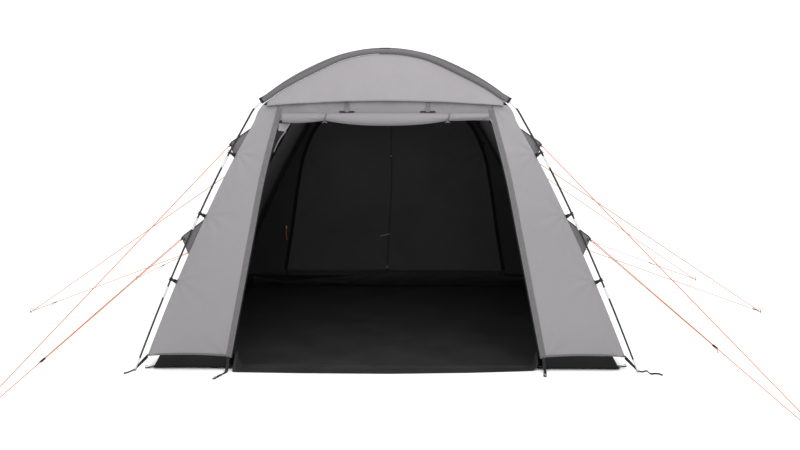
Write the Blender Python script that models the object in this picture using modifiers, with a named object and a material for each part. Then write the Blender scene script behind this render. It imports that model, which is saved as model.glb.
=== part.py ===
"""Drive-away awning: three pole hoops outside a grey fabric shelter, with a rolled-up front door,
a zipped back door, a groundsheet and a short tunnel towards the vehicle.

Metres, +Z up. X runs across the doorway, Y from the front hoop to the rear one.
The origin is on the ground, in the middle of the front hoop.
"""
import math

import bmesh
import bpy
from mathutils import Vector

# Driving dimensions
BAY = 1.575                 # distance from one hoop to the next
FABRIC = 0.004              # thickness of a fabric solid
GAP = 0.0003                # clearance between pieces that touch
NEAR = 0.004                # a curve keeps no point closer than this above or below where it is cut
POLE_RADIUS = 0.0063
FERRULE_RADIUS = 0.0078
SLEEVE_RADIUS = 0.016
LEG_STAND_OFF = 0.045       # from the pole's middle to the fabric beside it
HEM_HEIGHT = 0.10           # the walls end here, and the skirt goes on to the ground
HEM_RISE = 0.010            # the front panels' hems arch up by this much between their ends
ROOF_SAG = 0.02             # dip of the fabric halfway between two hoops
HELD_HEIGHT = 0.5           # above the hem, the height over which the dip grows to its full depth

# Half of a hoop, from its top to its foot: distance from the middle, height
HOOP_STATIONS = (
    (0.000, 2.092), (0.230, 2.063), (0.473, 1.960), (0.712, 1.829), (0.853, 1.715),
    (0.880, 1.668), (1.034, 1.400), (1.241, 0.990), (1.466, 0.495), (1.672, 0.000),
)
# The door's side edge, from its top to its foot
DOOR_STATIONS = ((0.683, 1.770), (0.815, 1.287), (0.900, 0.880), (1.060, 0.097))
SHOULDER_HEIGHT = 1.815     # below here the fabric leaves the pole
SHOULDER_DROP = 0.16        # and this much lower it has its full distance from the leg
SLEEVE_END = 1.772
ROOF_EDGE = 1.765           # seam between the roof and the walls
TAPE_WIDTH = 0.035
DOOR_TOP = 1.655
PANEL_TOP = 1.752           # the front panels end here, just behind the gable's lower edge

EAVE_HALF_WIDTH = 0.757     # lower edge of the gable
EAVE_SIDE_HEIGHT = 1.747
EAVE_RISE = 0.031
EAVE_OVERHANG = 0.020
LINTEL_LAP = 0.005          # how far the lintel goes up behind the gable

CLIP_HEIGHTS = (1.450, 1.053, 0.618)
CLIP_WIDTH = 0.017
CLIP_LENGTH = 0.024
CLIP_START = -0.010         # its outer end, from the pole's middle towards the fabric
FERRULE_TOPS = (1.427, 1.022, 0.570)
FERRULE_LENGTH = 0.073
FERRULE_STEP = 0.001        # half the height over which the radius changes at a ferrule's ends
FERRULE_CLEAR = 0.012       # the pole's line has no other point this close to a ferrule
PIN_LENGTH = 0.085
PIN_SCALE = 0.7             # the foot pin's radius as a share of the pole's
PIN_STEP = 0.002            # height over which the pole narrows to its foot pin
LEG_SAMPLE = 0.02           # half the height between the two points that give the leg's direction
FOOT_RADIUS = 0.014
FOOT_HEIGHT = 0.012
STRAP = 0.003               # thickness of webbing
FOOT_STRAP_WIDTH = 0.025
FOOT_STRAP_HEIGHT = 0.008   # of its end at the foot
FOOT_STRAP_GAP = 0.0035     # from its other end to the wall's corner

ROLL_RADIUS = 0.038
ROLL_HALF_LENGTH = 0.650
ROLL_HEIGHT = 1.660
ROLL_TIES = (-0.385, 0.400)
TOGGLE_PLACES = {"left": -0.244, "right": 0.274}
TOGGLE_BAR = (0.097, 0.010, 0.009)
TOGGLE_BAR_HEIGHT = 1.709
TOGGLE_STRAP_WIDTH = 0.028

SKIRT_TUCK = 0.12           # how far a skirt runs in under the awning
SKIRT_DROP = 0.018          # a skirt hangs straight this far below the hem
SKIRT_FLAT = 0.045          # its last stretch, flat on the ground
SKIRT_TOP_END = 1.500       # outer end of a front skirt along the hem
SKIRT_FOOT_END = 1.565      # and on the ground
SIDE_SKIRT_FRONT = 0.450    # front end of a side skirt
SIDE_SKIRT_BACK = 0.070     # from its back end on the ground to the rear skirt's foot
SIDE_SKIRT_DROP = 0.0008    # its top lies this much lower than the other skirts' tops
REAR_SKIRT_TUCK = 0.45      # a rear skirt's reach under the awning, as a share of the others'
SHEET_FRONT = -0.050
SHEET_BACK = 3.080
SHEET_STEP = 0.015          # from the front skirts' feet to where the groundsheet widens
SHEET_CORNER = 0.015        # cut off the groundsheet's back corners
TONGUE_INSET = 0.045        # the groundsheet's tongue is this much narrower than the doorway, on each side
MUD_WALL_HEIGHT = 0.13
MUD_WALL_FRONT = 0.035      # from the front skirts' feet to the mud wall's front ends

# The back door's side zips, from the top to the sill
BACK_ZIP_STATIONS = ((0.560, 1.830), (0.750, 1.670), (0.905, 1.370), (0.980, 1.030), (1.045, 0.600), (1.120, 0.160))
BACK_DOOR_TOP = 1.880
BACK_DOOR_SHOULDER = (0.300, 1.870)

TUNNEL_DEPTH = 0.340
TUNNEL_STATIONS = (
    (0.000, 1.925), (0.350, 1.905), (0.600, 1.830), (0.790, 1.680),
    (0.945, 1.370), (1.030, 1.030), (1.100, 0.600), (1.170, 0.002),
)

BEADING_RADIUS = 0.005
BEADING_HALF_WIDTH = 0.80

GUY_RADIUS = 0.00175
RING_HEIGHT = 0.012         # the guys' loop round its peg
RING_TURN = 0.0057
RING_SECTION = 0.0018
GUSSET = 0.003              # thickness of a guy's gusset
GUSSET_SHIFT = 0.022        # the gussets lie this far along from the pole's middle
GUY_LAP = 0.006             # a guy runs this far into its gusset
# The cloth gussets: name, top and bottom on the wall's seam, height of the tip on the pole, reach beyond the pole
GUY_LEVELS = (("upper", 1.605, 1.410, 1.490, 0.022), ("lower", 1.014, 0.776, 0.871, 0.040))
GUY_DROPS = {"upper": 0.050, "lower": 0.220}    # the middle and rear hoops' gussets sit this much lower
PEG_HEIGHT = 0.040
PEG_RADIUS = 0.0035
# The peg's hook, from the stem's top to the tip: distance from the stem, depth below the top
PEG_HOOK = ((0.000, 0.008), (0.006, 0.000), (0.014, 0.000), (0.020, 0.010))

HOOPS = {"front": 0.0, "middle": BAY, "rear": 2 * BAY}
SIDES = {"left": -1, "right": 1}
# Where the guys are pegged: across, along
PEG_PLACES = {
    ("left", "front"): (-2.170, -1.506), ("right", "front"): (2.261, -1.613),
    ("left", "middle"): (-3.153, 1.762), ("right", "middle"): (3.227, 1.838),
    ("left", "rear"): (-2.760, 3.437), ("right", "rear"): (3.191, 3.437),
}


def clear_scene():
    for thing in list(bpy.data.objects):
        bpy.data.objects.remove(thing, do_unlink=True)


def collection(name):
    group = bpy.data.collections.new(name)
    bpy.context.scene.collection.children.link(group)
    return group


def finish(name, colour, roughness, metallic=0.0):
    material = bpy.data.materials.new(name)
    material.use_nodes = True
    shader = material.node_tree.nodes["Principled BSDF"]
    shader.inputs["Base Color"].default_value = (*colour, 1.0)
    shader.inputs["Roughness"].default_value = roughness
    shader.inputs["Metallic"].default_value = metallic
    return material


clear_scene()
AWNING = collection("drive_away_awning")
HELPERS = collection("helpers")
GREY = finish("grey_fabric", (0.36, 0.35, 0.36), 0.85)
DARK = finish("dark_trim", (0.16, 0.155, 0.165), 0.8)
BLACK = finish("black_fabric", (0.015, 0.015, 0.016), 0.8)
POLE = finish("pole", (0.02, 0.02, 0.02), 0.4)
CORD = finish("guy_line", (0.75, 0.22, 0.05), 0.7)
METAL = finish("peg", (0.45, 0.45, 0.46), 0.35, 1.0)


# Curves in a hoop's plane

def smooth(stations, steps, flat_start=False):
    """Points of one smooth curve through the stations, as 2D vectors."""
    knots = [Vector(station) for station in stations]
    chords = [(b - a).length for a, b in zip(knots, knots[1:])]
    slopes = [(b - a) / chord for a, b, chord in zip(knots, knots[1:], chords)]
    tangents = [Vector((1.0, 0.0)) if flat_start else slopes[0]]
    for before, after, slope_in, slope_out in zip(chords, chords[1:], slopes, slopes[1:]):
        tangents.append((slope_out * before + slope_in * after) / (before + after))
    tangents.append(slopes[-1])
    points = []
    for index, chord in enumerate(chords):
        start, end = knots[index], knots[index + 1]
        for step in range(steps):
            s = step / steps
            points.append(
                start * (2 * s ** 3 - 3 * s ** 2 + 1) + end * (3 * s ** 2 - 2 * s ** 3)
                + tangents[index] * chord * (s ** 3 - 2 * s ** 2 + s)
                + tangents[index + 1] * chord * (s ** 3 - s ** 2))
    points.append(knots[-1])
    return points


def inward(points, distances):
    """The points moved to the curve's inner side, where the curve runs from its top outwards and down."""
    moved = []
    last = len(points) - 1
    for index, point in enumerate(points):
        along = (points[min(index + 1, last)] - points[max(index - 1, 0)]).normalized()
        if index == 0:
            along = Vector((1.0, 0.0))
        moved.append(point + Vector((along.y, -along.x)) * distances[index])
    return moved


def at_height(points, height):
    """The point of a falling curve at this height."""
    for upper, lower in zip(points, points[1:]):
        if lower.y <= height <= upper.y and upper.y > lower.y:
            return upper.lerp(lower, (upper.y - height) / (upper.y - lower.y))
    return points[-1] if height < points[-1].y else points[0]


def between(points, top, bottom):
    """The stretch of a falling curve from one height to another, with its exact ends."""
    inner = [p for p in points if bottom + NEAR < p.y < top - NEAR]
    return [at_height(points, top)] + inner + [at_height(points, bottom)]


def above(points, height):
    """The stretch of a falling curve from its top down to this height."""
    return [p for p in points if p.y > height + NEAR] + [at_height(points, height)]


def height_over(points, across):
    """The height of a line that runs outwards, at this distance from the middle."""
    for a, b in zip(points, points[1:]):
        if a.x <= across <= b.x:
            return a.lerp(b, (across - a.x) / (b.x - a.x)).y
    return points[-1].y


HOOP = smooth(HOOP_STATIONS, 3, flat_start=True)


def stand_off(point):
    """How far inside the pole the fabric's middle lies: close under the sleeve, and free beside the legs."""
    near = SLEEVE_RADIUS + GAP + FABRIC / 2
    ease = min(max((SHOULDER_HEIGHT - point.y) / SHOULDER_DROP, 0.0), 1.0)
    return near + (LEG_STAND_OFF - near) * ease * ease * (3 - 2 * ease)


SKIN = inward(HOOP, [stand_off(point) for point in HOOP])
SKIN_EDGE = inward(HOOP, [stand_off(point) - FABRIC / 2 for point in HOOP])
DOOR_EDGE = smooth(DOOR_STATIONS, 5)
CORNER = at_height(SKIN, HEM_HEIGHT).x      # the walls' lower corner
SHEET_HALF_WIDTH = CORNER - SKIRT_TUCK - FABRIC - 2 * GAP


def hem_line(steps=8):
    """The front panels' arched lower edge, from the door's foot out to the wall's corner."""
    inner = at_height(DOOR_EDGE, HEM_HEIGHT).x + GAP
    outer = at_height(SKIN_EDGE, HEM_HEIGHT).x
    shares = [k / steps for k in range(steps + 1)]
    return [Vector((inner + (outer - inner) * s, HEM_HEIGHT + HEM_RISE * 4 * s * (1 - s))) for s in shares]


# Builders

def place(obj, material, group=None):
    (group or AWNING).objects.link(obj)
    obj.data.materials.clear()
    obj.data.materials.append(material)
    return obj


def helper(obj):
    """A shape that is only joined to, or cut from, another piece."""
    obj.hide_render = True
    obj.display_type = "WIRE"
    return obj


def cloth(name, spot, across, along, material):
    """A grid whose point at (column, row) lies at spot(column, row), thickened both ways."""
    mesh = bpy.data.meshes.new(name)
    bm = bmesh.new()
    bmesh.ops.create_grid(bm, x_segments=across, y_segments=along, size=0.5)
    for vert in bm.verts:
        column = round((vert.co.x + 0.5) * across)
        row = round((vert.co.y + 0.5) * along)
        vert.co = spot(column, row)
    bm.to_mesh(mesh)
    bm.free()
    piece = place(bpy.data.objects.new(name, mesh), material)
    thick = piece.modifiers.new("thickness", "SOLIDIFY")
    thick.thickness = FABRIC
    thick.offset = 0.0
    thick.use_even_offset = True
    return piece


def plate(name, outlines, y, material, thickness=FABRIC):
    """A flat sheet in a hoop's plane, from closed outlines: the first is its edge, the others are holes."""
    curve = bpy.data.curves.new(name, "CURVE")
    curve.dimensions = "2D"
    curve.fill_mode = "BOTH"
    curve.extrude = thickness / 2
    for outline in outlines:
        spline = curve.splines.new("POLY")
        spline.points.add(len(outline) - 1)
        for point, (across, height) in zip(spline.points, outline):
            point.co = (across, height, 0.0, 1.0)
        spline.use_cyclic_u = True
    piece = place(bpy.data.objects.new(name, curve), material)
    piece.rotation_euler.x = math.pi / 2
    piece.location.y = y
    return piece


def tube_curve(name, points, radius, sides=8, scales=None, caps=True):
    curve = bpy.data.curves.new(name, "CURVE")
    curve.dimensions = "3D"
    curve.bevel_depth = radius
    curve.bevel_resolution = (sides - 4) // 2
    curve.use_fill_caps = caps
    spline = curve.splines.new("POLY")
    spline.points.add(len(points) - 1)
    for index, (knot, point) in enumerate(zip(spline.points, points)):
        knot.co = (*point, 1.0)
        knot.radius = scales[index] if scales else 1.0
    return curve


def as_mesh(name, curve, material, group=None):
    """The curve made a mesh object, with its caps welded on."""
    source = bpy.data.objects.new(name + "_curve", curve)
    HELPERS.objects.link(source)
    bpy.context.view_layer.update()
    evaluated = source.evaluated_get(bpy.context.evaluated_depsgraph_get())
    mesh = bpy.data.meshes.new_from_object(evaluated)
    bm = bmesh.new()
    bm.from_mesh(mesh)
    bmesh.ops.remove_doubles(bm, verts=bm.verts, dist=0.00005)
    bmesh.ops.recalc_face_normals(bm, faces=bm.faces)
    bm.to_mesh(mesh)
    bm.free()
    bpy.data.objects.remove(source, do_unlink=True)
    mesh.name = name
    return place(bpy.data.objects.new(name, mesh), material, group)


def box(name, size, centre, material, group=None, along=None):
    """A block at its centre. along turns its X side to that direction in the hoop's plane or any other."""
    mesh = bpy.data.meshes.new(name)
    bm = bmesh.new()
    bmesh.ops.create_cube(bm, size=1.0)
    bmesh.ops.scale(bm, vec=size, verts=bm.verts)
    bm.to_mesh(mesh)
    bm.free()
    piece = place(bpy.data.objects.new(name, mesh), material, group)
    piece.location = centre
    if along is not None:
        piece.rotation_euler = Vector(along).to_track_quat("X", "Z").to_euler()
    return piece


def drum(name, radius, height, centre, material, group=None, sides=12):
    mesh = bpy.data.meshes.new(name)
    bm = bmesh.new()
    bmesh.ops.create_cone(bm, cap_ends=True, segments=sides, radius1=radius, radius2=radius, depth=height)
    bm.to_mesh(mesh)
    bm.free()
    piece = place(bpy.data.objects.new(name, mesh), material, group)
    piece.location = centre
    return piece


def fuse(base, additions):
    """Boolean unions, one for each added shape."""
    for addition in additions:
        helper(addition)
        union = base.modifiers.new("join", "BOOLEAN")
        union.operation = "UNION"
        union.solver = "EXACT"
        union.object = addition
    return base


def in_hoop(point, y, side=1):
    """A 2D point of a hoop's plane, in space."""
    return Vector((side * point.x, y, point.y))


# Pole hoops

def both_sides(points):
    """The half curve and its mirror image, as one run from the left end to the right end."""
    return [Vector((-p.x, p.y)) for p in reversed(points[1:])] + list(points)


def pole_run():
    """The pole's middle line on one side with its radius scales, a ferrule below each clip and a thin foot pin."""
    leg = above(HOOP, PIN_LENGTH)
    run = [(p, 1.0) for p in leg]
    for upper in FERRULE_TOPS:
        lower = upper - FERRULE_LENGTH
        run = [(p, s) for p, s in run if not lower - FERRULE_CLEAR < p.y < upper + FERRULE_CLEAR]
        for edge, outside in ((upper, FERRULE_STEP), (lower, -FERRULE_STEP)):
            run.append((at_height(HOOP, edge + outside), 1.0))
            run.append((at_height(HOOP, edge - outside), FERRULE_RADIUS / POLE_RADIUS))
    run.append((at_height(HOOP, PIN_LENGTH - PIN_STEP), PIN_SCALE))
    run.append((at_height(HOOP, FOOT_HEIGHT / 2), PIN_SCALE))
    run.sort(key=lambda entry: -entry[0].y)
    return run


def pole(name, y):
    run = pole_run()
    line = both_sides([p for p, _ in run])
    scales = [s for _, s in reversed(run[1:])] + [s for _, s in run]
    points = [(p.x, y, p.y) for p in line]
    base = as_mesh(name, tube_curve(name, points, POLE_RADIUS, 8, scales), POLE)
    additions = []
    for side_name, side in SIDES.items():
        for number, height in enumerate(CLIP_HEIGHTS):
            additions.append(clip(f"{name}_{side_name}_clip_{number}", y, side, height))
        additions.append(drum(f"{name}_{side_name}_foot", FOOT_RADIUS, FOOT_HEIGHT,
                              (side * HOOP[-1].x, y, FOOT_HEIGHT / 2), POLE, HELPERS))
        additions.append(foot_strap(f"{name}_{side_name}_strap", y, side))
    return fuse(base, additions)


def clip(name, y, side, height):
    """The hook that holds the wall's seam to the pole."""
    on_pole = at_height(HOOP, height)
    direction = leg_normal(height)
    end = LEG_STAND_OFF - FABRIC / 2 - 2 * GAP
    middle = on_pole + direction * (CLIP_START + end) / 2
    return box(name, (end - CLIP_START, CLIP_WIDTH, CLIP_LENGTH), in_hoop(middle, y, side), POLE, HELPERS,
               along=(side * direction.x, 0.0, direction.y))


def leg_normal(height):
    """The direction from the pole to the fabric at this height, on the right-hand side."""
    along = (at_height(HOOP, height - LEG_SAMPLE) - at_height(HOOP, height + LEG_SAMPLE)).normalized()
    return Vector((along.y, -along.x))


def foot_strap(name, y, side):
    """Webbing from the pole's foot to the wall's lower corner."""
    foot = Vector((HOOP[-1].x, FOOT_STRAP_HEIGHT))
    corner = at_height(SKIN_EDGE, HEM_HEIGHT)
    run = corner - foot
    end = corner - run.normalized() * FOOT_STRAP_GAP
    middle = (foot + end) / 2
    return box(name, ((end - foot).length, FOOT_STRAP_WIDTH, STRAP), in_hoop(middle, y, side), POLE, HELPERS,
               along=(side * run.x, 0.0, run.y))


def sleeve(name, y):
    """The cloth tube that the pole runs through over the roof."""
    line = both_sides(above(HOOP, SLEEVE_END))
    points = [(p.x, y, p.y) for p in line]
    tube = as_mesh(name, tube_curve(name, points, SLEEVE_RADIUS, 12, caps=False), DARK)
    wall = tube.modifiers.new("wall", "SOLIDIFY")
    wall.thickness = SLEEVE_RADIUS - POLE_RADIUS - 2 * GAP
    wall.offset = -1.0
    return tube


# Roof and walls

def bay_skin(name, line, inner, start, end, side=1):
    """Fabric along one bay. line runs across it, and halfway along it dips towards inner, a metre inside it."""
    rows = 4

    def spot(column, row):
        share = row / rows
        held = min((line[column].y - HEM_HEIGHT) / HELD_HEIGHT, 1.0)
        point = line[column].lerp(inner[column], ROOF_SAG * 4 * share * (1 - share) * held)
        return (side * point.x, start + (end - start) * share, point.y)

    return cloth(name, spot, len(line) - 1, rows, GREY)


def roof_and_walls():
    roof = above(SKIN, ROOF_EDGE)
    roof_inside = inward(roof, [1.0] * len(roof))
    wall = between(SKIN, ROOF_EDGE - GAP, HEM_HEIGHT)
    wall_inside = inward(wall, [1.0] * len(wall))
    bays = {"front_bay": (FABRIC / 2 + GAP, BAY - GAP / 2), "rear_bay": (BAY + GAP / 2, 2 * BAY - FABRIC / 2 - GAP)}
    for bay, (start, end) in bays.items():
        bay_skin(f"roof_{bay}", both_sides(roof), both_sides(roof_inside), start, end)
        for side_name, side in SIDES.items():
            bay_skin(f"{side_name}_wall_{bay}", wall, wall_inside, start, end, side)


# Front

def eave_height(across):
    return EAVE_SIDE_HEIGHT + EAVE_RISE * (1 - (across / EAVE_HALF_WIDTH) ** 2)


def front_gable():
    columns, rows = 20, 4
    top_line = above(SKIN_EDGE, EAVE_SIDE_HEIGHT)

    def spot(column, row):
        across = EAVE_HALF_WIDTH * (2 * column / columns - 1)
        share = row / rows
        low = eave_height(across)
        high = height_over(top_line, abs(across)) - GAP
        return (across, -EAVE_OVERHANG * (1 - share) ** 1.5, low + (high - low) * share)

    cloth("front_gable", spot, columns, rows, GREY)


def strip(edge, width):
    """The outline between an edge and the same edge moved towards the door's middle."""
    return [(p.x, p.y) for p in edge] + [(p.x - width, p.y) for p in reversed(edge)]


def front_wall():
    outer = between(SKIN_EDGE, PANEL_TOP, HEM_HEIGHT)
    door = between(DOOR_EDGE, PANEL_TOP, HEM_HEIGHT)
    hem = [(p.x, p.y) for p in reversed(hem_line()[1:-1])]
    for side_name, side in SIDES.items():
        outline = [(p.x, p.y) for p in outer] + hem + [(p.x + GAP, p.y) for p in reversed(door)]
        plate(f"{side_name}_front_panel", [[(side * x, z) for x, z in outline]], 0.0, GREY)
        tape = [(side * x, z) for x, z in strip(door, TAPE_WIDTH)]
        plate(f"{side_name}_door_tape", [tape], 0.0, DARK)
    inner = TAPE_WIDTH + GAP
    sides = [(p.x - inner, p.y) for p in between(DOOR_EDGE, PANEL_TOP, DOOR_TOP)]
    across = [sides[0][0] * (k / 4 - 1) for k in range(1, 8)]
    top = [(x, eave_height(x) + LINTEL_LAP) for x in across]
    plate("front_lintel", [sides + [(-x, z) for x, z in reversed(sides)] + top], 0.0, GREY)


def rolled_door():
    """The door's cloth, rolled up against the lintel. Its ties draw it in."""
    count = 26
    tie_reach, tie_depth, end_depth = 0.035, 0.14, 0.12
    y = -(FABRIC / 2 + GAP + ROLL_RADIUS)
    points, scales = [], []
    for index in range(count + 1):
        across = ROLL_HALF_LENGTH * (2 * index / count - 1)
        pinch = sum(math.exp(-((across - tie) / tie_reach) ** 2) for tie in ROLL_TIES)
        end = 1.0 - end_depth * (abs(across) / ROLL_HALF_LENGTH) ** 6
        points.append((across, y, ROLL_HEIGHT))
        scales.append(end * (1.0 - tie_depth * pinch))
    curve = tube_curve("rolled_door", points, ROLL_RADIUS, 12, scales)
    place(bpy.data.objects.new("rolled_door", curve), GREY)


def door_toggle(name, across):
    """A short strap hung from behind the gable, with its cross bar just above the roll."""
    low = TOGGLE_BAR_HEIGHT - STRAP / 2
    high = eave_height(across) + LINTEL_LAP
    behind = -(FABRIC / 2 + GAP + STRAP / 2)
    strap = box(name, (TOGGLE_STRAP_WIDTH, STRAP, high - low), (across, behind, (low + high) / 2), DARK)
    bar = box(name + "_bar", TOGGLE_BAR, (across, behind - TOGGLE_BAR[1] / 2, TOGGLE_BAR_HEIGHT), DARK, HELPERS)
    fuse(strap, [bar])


# Back

def back_wall():
    """The rear wall with its doorway, and the two leaves that close it."""
    y = 2 * BAY
    edge = above(SKIN_EDGE, HEM_HEIGHT)
    outline = [(p.x, p.y - GAP) for p in both_sides(edge)]
    door = [Vector((0.0, BACK_DOOR_TOP)), Vector(BACK_DOOR_SHOULDER)] + smooth(BACK_ZIP_STATIONS, 3)
    sill = door[-1].y
    hole = [(p.x + GAP * 2, p.y - GAP if p.y == sill else p.y + GAP) for p in door[1:]]
    plate("back_wall", [outline, [(-x, z) for x, z in reversed(hole)] + [(0.0, BACK_DOOR_TOP + GAP * 2)] + hole],
          y, GREY)
    for side_name, side in SIDES.items():
        leaf = [(side * GAP / 2, sill), (side * GAP / 2, BACK_DOOR_TOP)]
        leaf += [(side * p.x, p.y) for p in door[1:]]
        plate(f"back_door_{side_name}_leaf", [leaf], y, BLACK)


def tunnel():
    """The short fabric tunnel behind the back wall, with a beading along its top edge."""
    half = smooth(TUNNEL_STATIONS, 4, flat_start=True)
    line = both_sides(half)
    start = 2 * BAY + FABRIC / 2 + GAP

    def spot(column, row):
        point = line[column]
        return (point.x, start + TUNNEL_DEPTH * row / 2, max(point.y, FABRIC / 2))

    cloth("vehicle_tunnel", spot, len(line) - 1, 2, GREY)
    top = both_sides([p for p in half if p.x < BEADING_HALF_WIDTH])
    y = start + TUNNEL_DEPTH + GAP + BEADING_RADIUS
    beading = tube_curve("tunnel_beading", [(p.x, y, p.y) for p in top], BEADING_RADIUS, 8)
    place(bpy.data.objects.new("tunnel_beading", beading), BLACK)


# Floor and skirts

def groundsheet():
    """The floor lies flat, with a tongue out under the doorway."""
    tongue = DOOR_STATIONS[-1][0] - TONGUE_INSET
    step = SKIRT_TUCK + SHEET_STEP
    outline = [
        (-tongue, SHEET_FRONT), (tongue, SHEET_FRONT), (tongue, step),
        (SHEET_HALF_WIDTH, step), (SHEET_HALF_WIDTH, SHEET_BACK - SHEET_CORNER),
        (SHEET_HALF_WIDTH - SHEET_CORNER, SHEET_BACK), (SHEET_CORNER - SHEET_HALF_WIDTH, SHEET_BACK),
        (-SHEET_HALF_WIDTH, SHEET_BACK - SHEET_CORNER), (-SHEET_HALF_WIDTH, step),
        (-tongue, step),
    ]
    sheet = plate("groundsheet", [outline], 0.0, BLACK)
    sheet.rotation_euler.x = 0.0
    sheet.location = (0.0, 0.0, FABRIC / 2)


def mud_wall():
    """The groundsheet's turned-up sides and back."""
    beside = SHEET_HALF_WIDTH + GAP + FABRIC / 2
    behind = SHEET_BACK + GAP + FABRIC / 2
    front = SKIRT_TUCK + MUD_WALL_FRONT
    path = [(-beside, front), (-beside, behind - SHEET_CORNER), (-beside + SHEET_CORNER, behind),
            (beside - SHEET_CORNER, behind), (beside, behind - SHEET_CORNER), (beside, front)]

    def spot(column, row):
        x, y = path[column]
        return (x, y, MUD_WALL_HEIGHT * row)

    cloth("mud_wall", spot, len(path) - 1, 1, BLACK)


def skirt_path(below_hem=GAP):
    """Inward distance and height of a skirt, from the wall's hem to its end on the ground."""
    lie = FABRIC / 2
    return [(0.0, HEM_HEIGHT - below_hem), (0.0, HEM_HEIGHT - SKIRT_DROP),
            (SKIRT_TUCK - SKIRT_FLAT, lie), (SKIRT_TUCK, lie)]


def front_skirt(name, side):
    """Its top follows the panel's arched hem, and it spreads outwards on the ground."""
    path = skirt_path()
    hem = hem_line()
    start = DOOR_STATIONS[-1][0] + FABRIC
    places = [start] + [p.x for p in hem if start < p.x < SKIRT_TOP_END] + [SKIRT_TOP_END]
    spread = (SKIRT_FOOT_END - start) / (SKIRT_TOP_END - start)

    def spot(column, row):
        inwards, height = path[row]
        across = places[column]
        if inwards:
            return (side * (start + (across - start) * spread), inwards, height)
        return (side * across, 0.0, height + height_over(hem, across) - HEM_HEIGHT)

    cloth(name, spot, len(places) - 1, len(path) - 1, BLACK)


def side_skirt(name, side):
    """It starts some way behind the front corner, and on the ground it ends short of the rear skirt."""
    path = skirt_path(GAP + SIDE_SKIRT_DROP)
    hanging = (SIDE_SKIRT_FRONT, 2 * BAY - FABRIC)
    lying = (SIDE_SKIRT_FRONT, 2 * BAY - FABRIC - SIDE_SKIRT_BACK)

    def spot(column, row):
        inwards, height = path[row]
        return (side * (CORNER - inwards), (lying if inwards else hanging)[column], height)

    cloth(name, spot, 1, len(path) - 1, BLACK)


def rear_skirt():
    """It runs in less than half as far as the others, because the groundsheet ends close to the rear wall."""
    path = skirt_path()
    ends = (FABRIC - CORNER, CORNER - FABRIC)

    def spot(column, row):
        inwards, height = path[row]
        return (ends[column], 2 * BAY - inwards * REAR_SKIRT_TUCK, height)

    cloth("rear_skirt", spot, 1, len(path) - 1, BLACK)


def skirts():
    for side_name, side in SIDES.items():
        front_skirt(f"{side_name}_front_skirt", side)
        side_skirt(f"{side_name}_side_skirt", side)
    rear_skirt()


# Guys

def guy_line(name, start, end):
    return as_mesh(name, tube_curve(name, [start, end], GUY_RADIUS, 6), CORD, HELPERS)


def gusset(name, hoop_y, side, top, bottom, tip):
    """A triangle of cloth from the wall's seam to the guy."""
    out = Vector((1.0, 0.3)).normalized() * (GAP / 2)
    outline = [p + out for p in between(SKIN_EDGE, top, bottom)] + [tip]
    piece = plate(name, [[(side * p.x, p.y) for p in outline]], hoop_y, DARK, GUSSET)
    AWNING.objects.unlink(piece)
    curve = piece.data.copy()
    bpy.data.objects.remove(piece, do_unlink=True)
    flat = as_mesh(name, curve, DARK, HELPERS)
    flat.rotation_euler.x = math.pi / 2
    flat.location.y = hoop_y
    return flat


def guy_tip(height, reach):
    """Where a guy starts, on the right-hand side: outside the pole."""
    on_pole = at_height(HOOP, height)
    return on_pole - leg_normal(height) * reach


def guys(side_name, hoop_name):
    """Two guys from one side of a hoop to their peg, each with its gusset, and the loop that holds them there."""
    side = SIDES[side_name]
    hoop_y = HOOPS[hoop_name] + (GUSSET_SHIFT if hoop_name != "rear" else -GUSSET_SHIFT)
    peg_x, peg_y = PEG_PLACES[side_name, hoop_name]
    name = f"{side_name}_{hoop_name}_guys"
    ring_mesh = bpy.data.meshes.new(name)
    ring = place(bpy.data.objects.new(name, ring_mesh), CORD)
    build_ring(ring_mesh)
    ring.location = (peg_x, peg_y, RING_HEIGHT)
    additions = []
    for level, top, bottom, height, reach in GUY_LEVELS:
        drop = 0.0 if hoop_name == "front" else GUY_DROPS[level]
        tip = guy_tip(height - drop, reach)
        additions.append(gusset(f"{name}_{level}_gusset", hoop_y, side, top - drop, bottom - drop, tip))
        start = Vector((side * tip.x, hoop_y, tip.y))
        away = Vector((start.x - peg_x, start.y - peg_y, 0.0)).normalized()
        end = Vector((peg_x, peg_y, RING_HEIGHT)) + away * RING_TURN
        inside = start - (end - start).normalized() * GUY_LAP
        additions.append(guy_line(f"{name}_{level}_line", inside, end))
    fuse(ring, additions)


def build_ring(mesh):
    """A loop of cord that fits round a peg."""
    bm = bmesh.new()
    profile = [bm.verts.new((RING_TURN + RING_SECTION * math.cos(a), 0.0, RING_SECTION * math.sin(a)))
               for a in (2 * math.pi * k / 6 for k in range(6))]
    edges = [bm.edges.new((profile[k], profile[(k + 1) % 6])) for k in range(6)]
    bmesh.ops.spin(bm, geom=profile + edges, cent=(0, 0, 0), axis=(0, 0, 1), angle=2 * math.pi,
                   steps=12, use_merge=True)
    bmesh.ops.remove_doubles(bm, verts=bm.verts, dist=0.00002)
    bmesh.ops.recalc_face_normals(bm, faces=bm.faces)
    bm.to_mesh(mesh)
    bm.free()


def peg(side_name, hoop_name):
    """The part of a peg above the ground: a stem with a hook bent away from the awning."""
    x, y = PEG_PLACES[side_name, hoop_name]
    away = Vector((x, y - BAY, 0.0)).normalized()
    foot = Vector((x, y, 0.0))
    points = [foot] + [foot + Vector((0.0, 0.0, PEG_HEIGHT - drop)) - away * reach for reach, drop in PEG_HOOK]
    name = f"{side_name}_{hoop_name}_peg"
    curve = tube_curve(name, points, PEG_RADIUS, 8)
    place(bpy.data.objects.new(name, curve), METAL)


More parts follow.
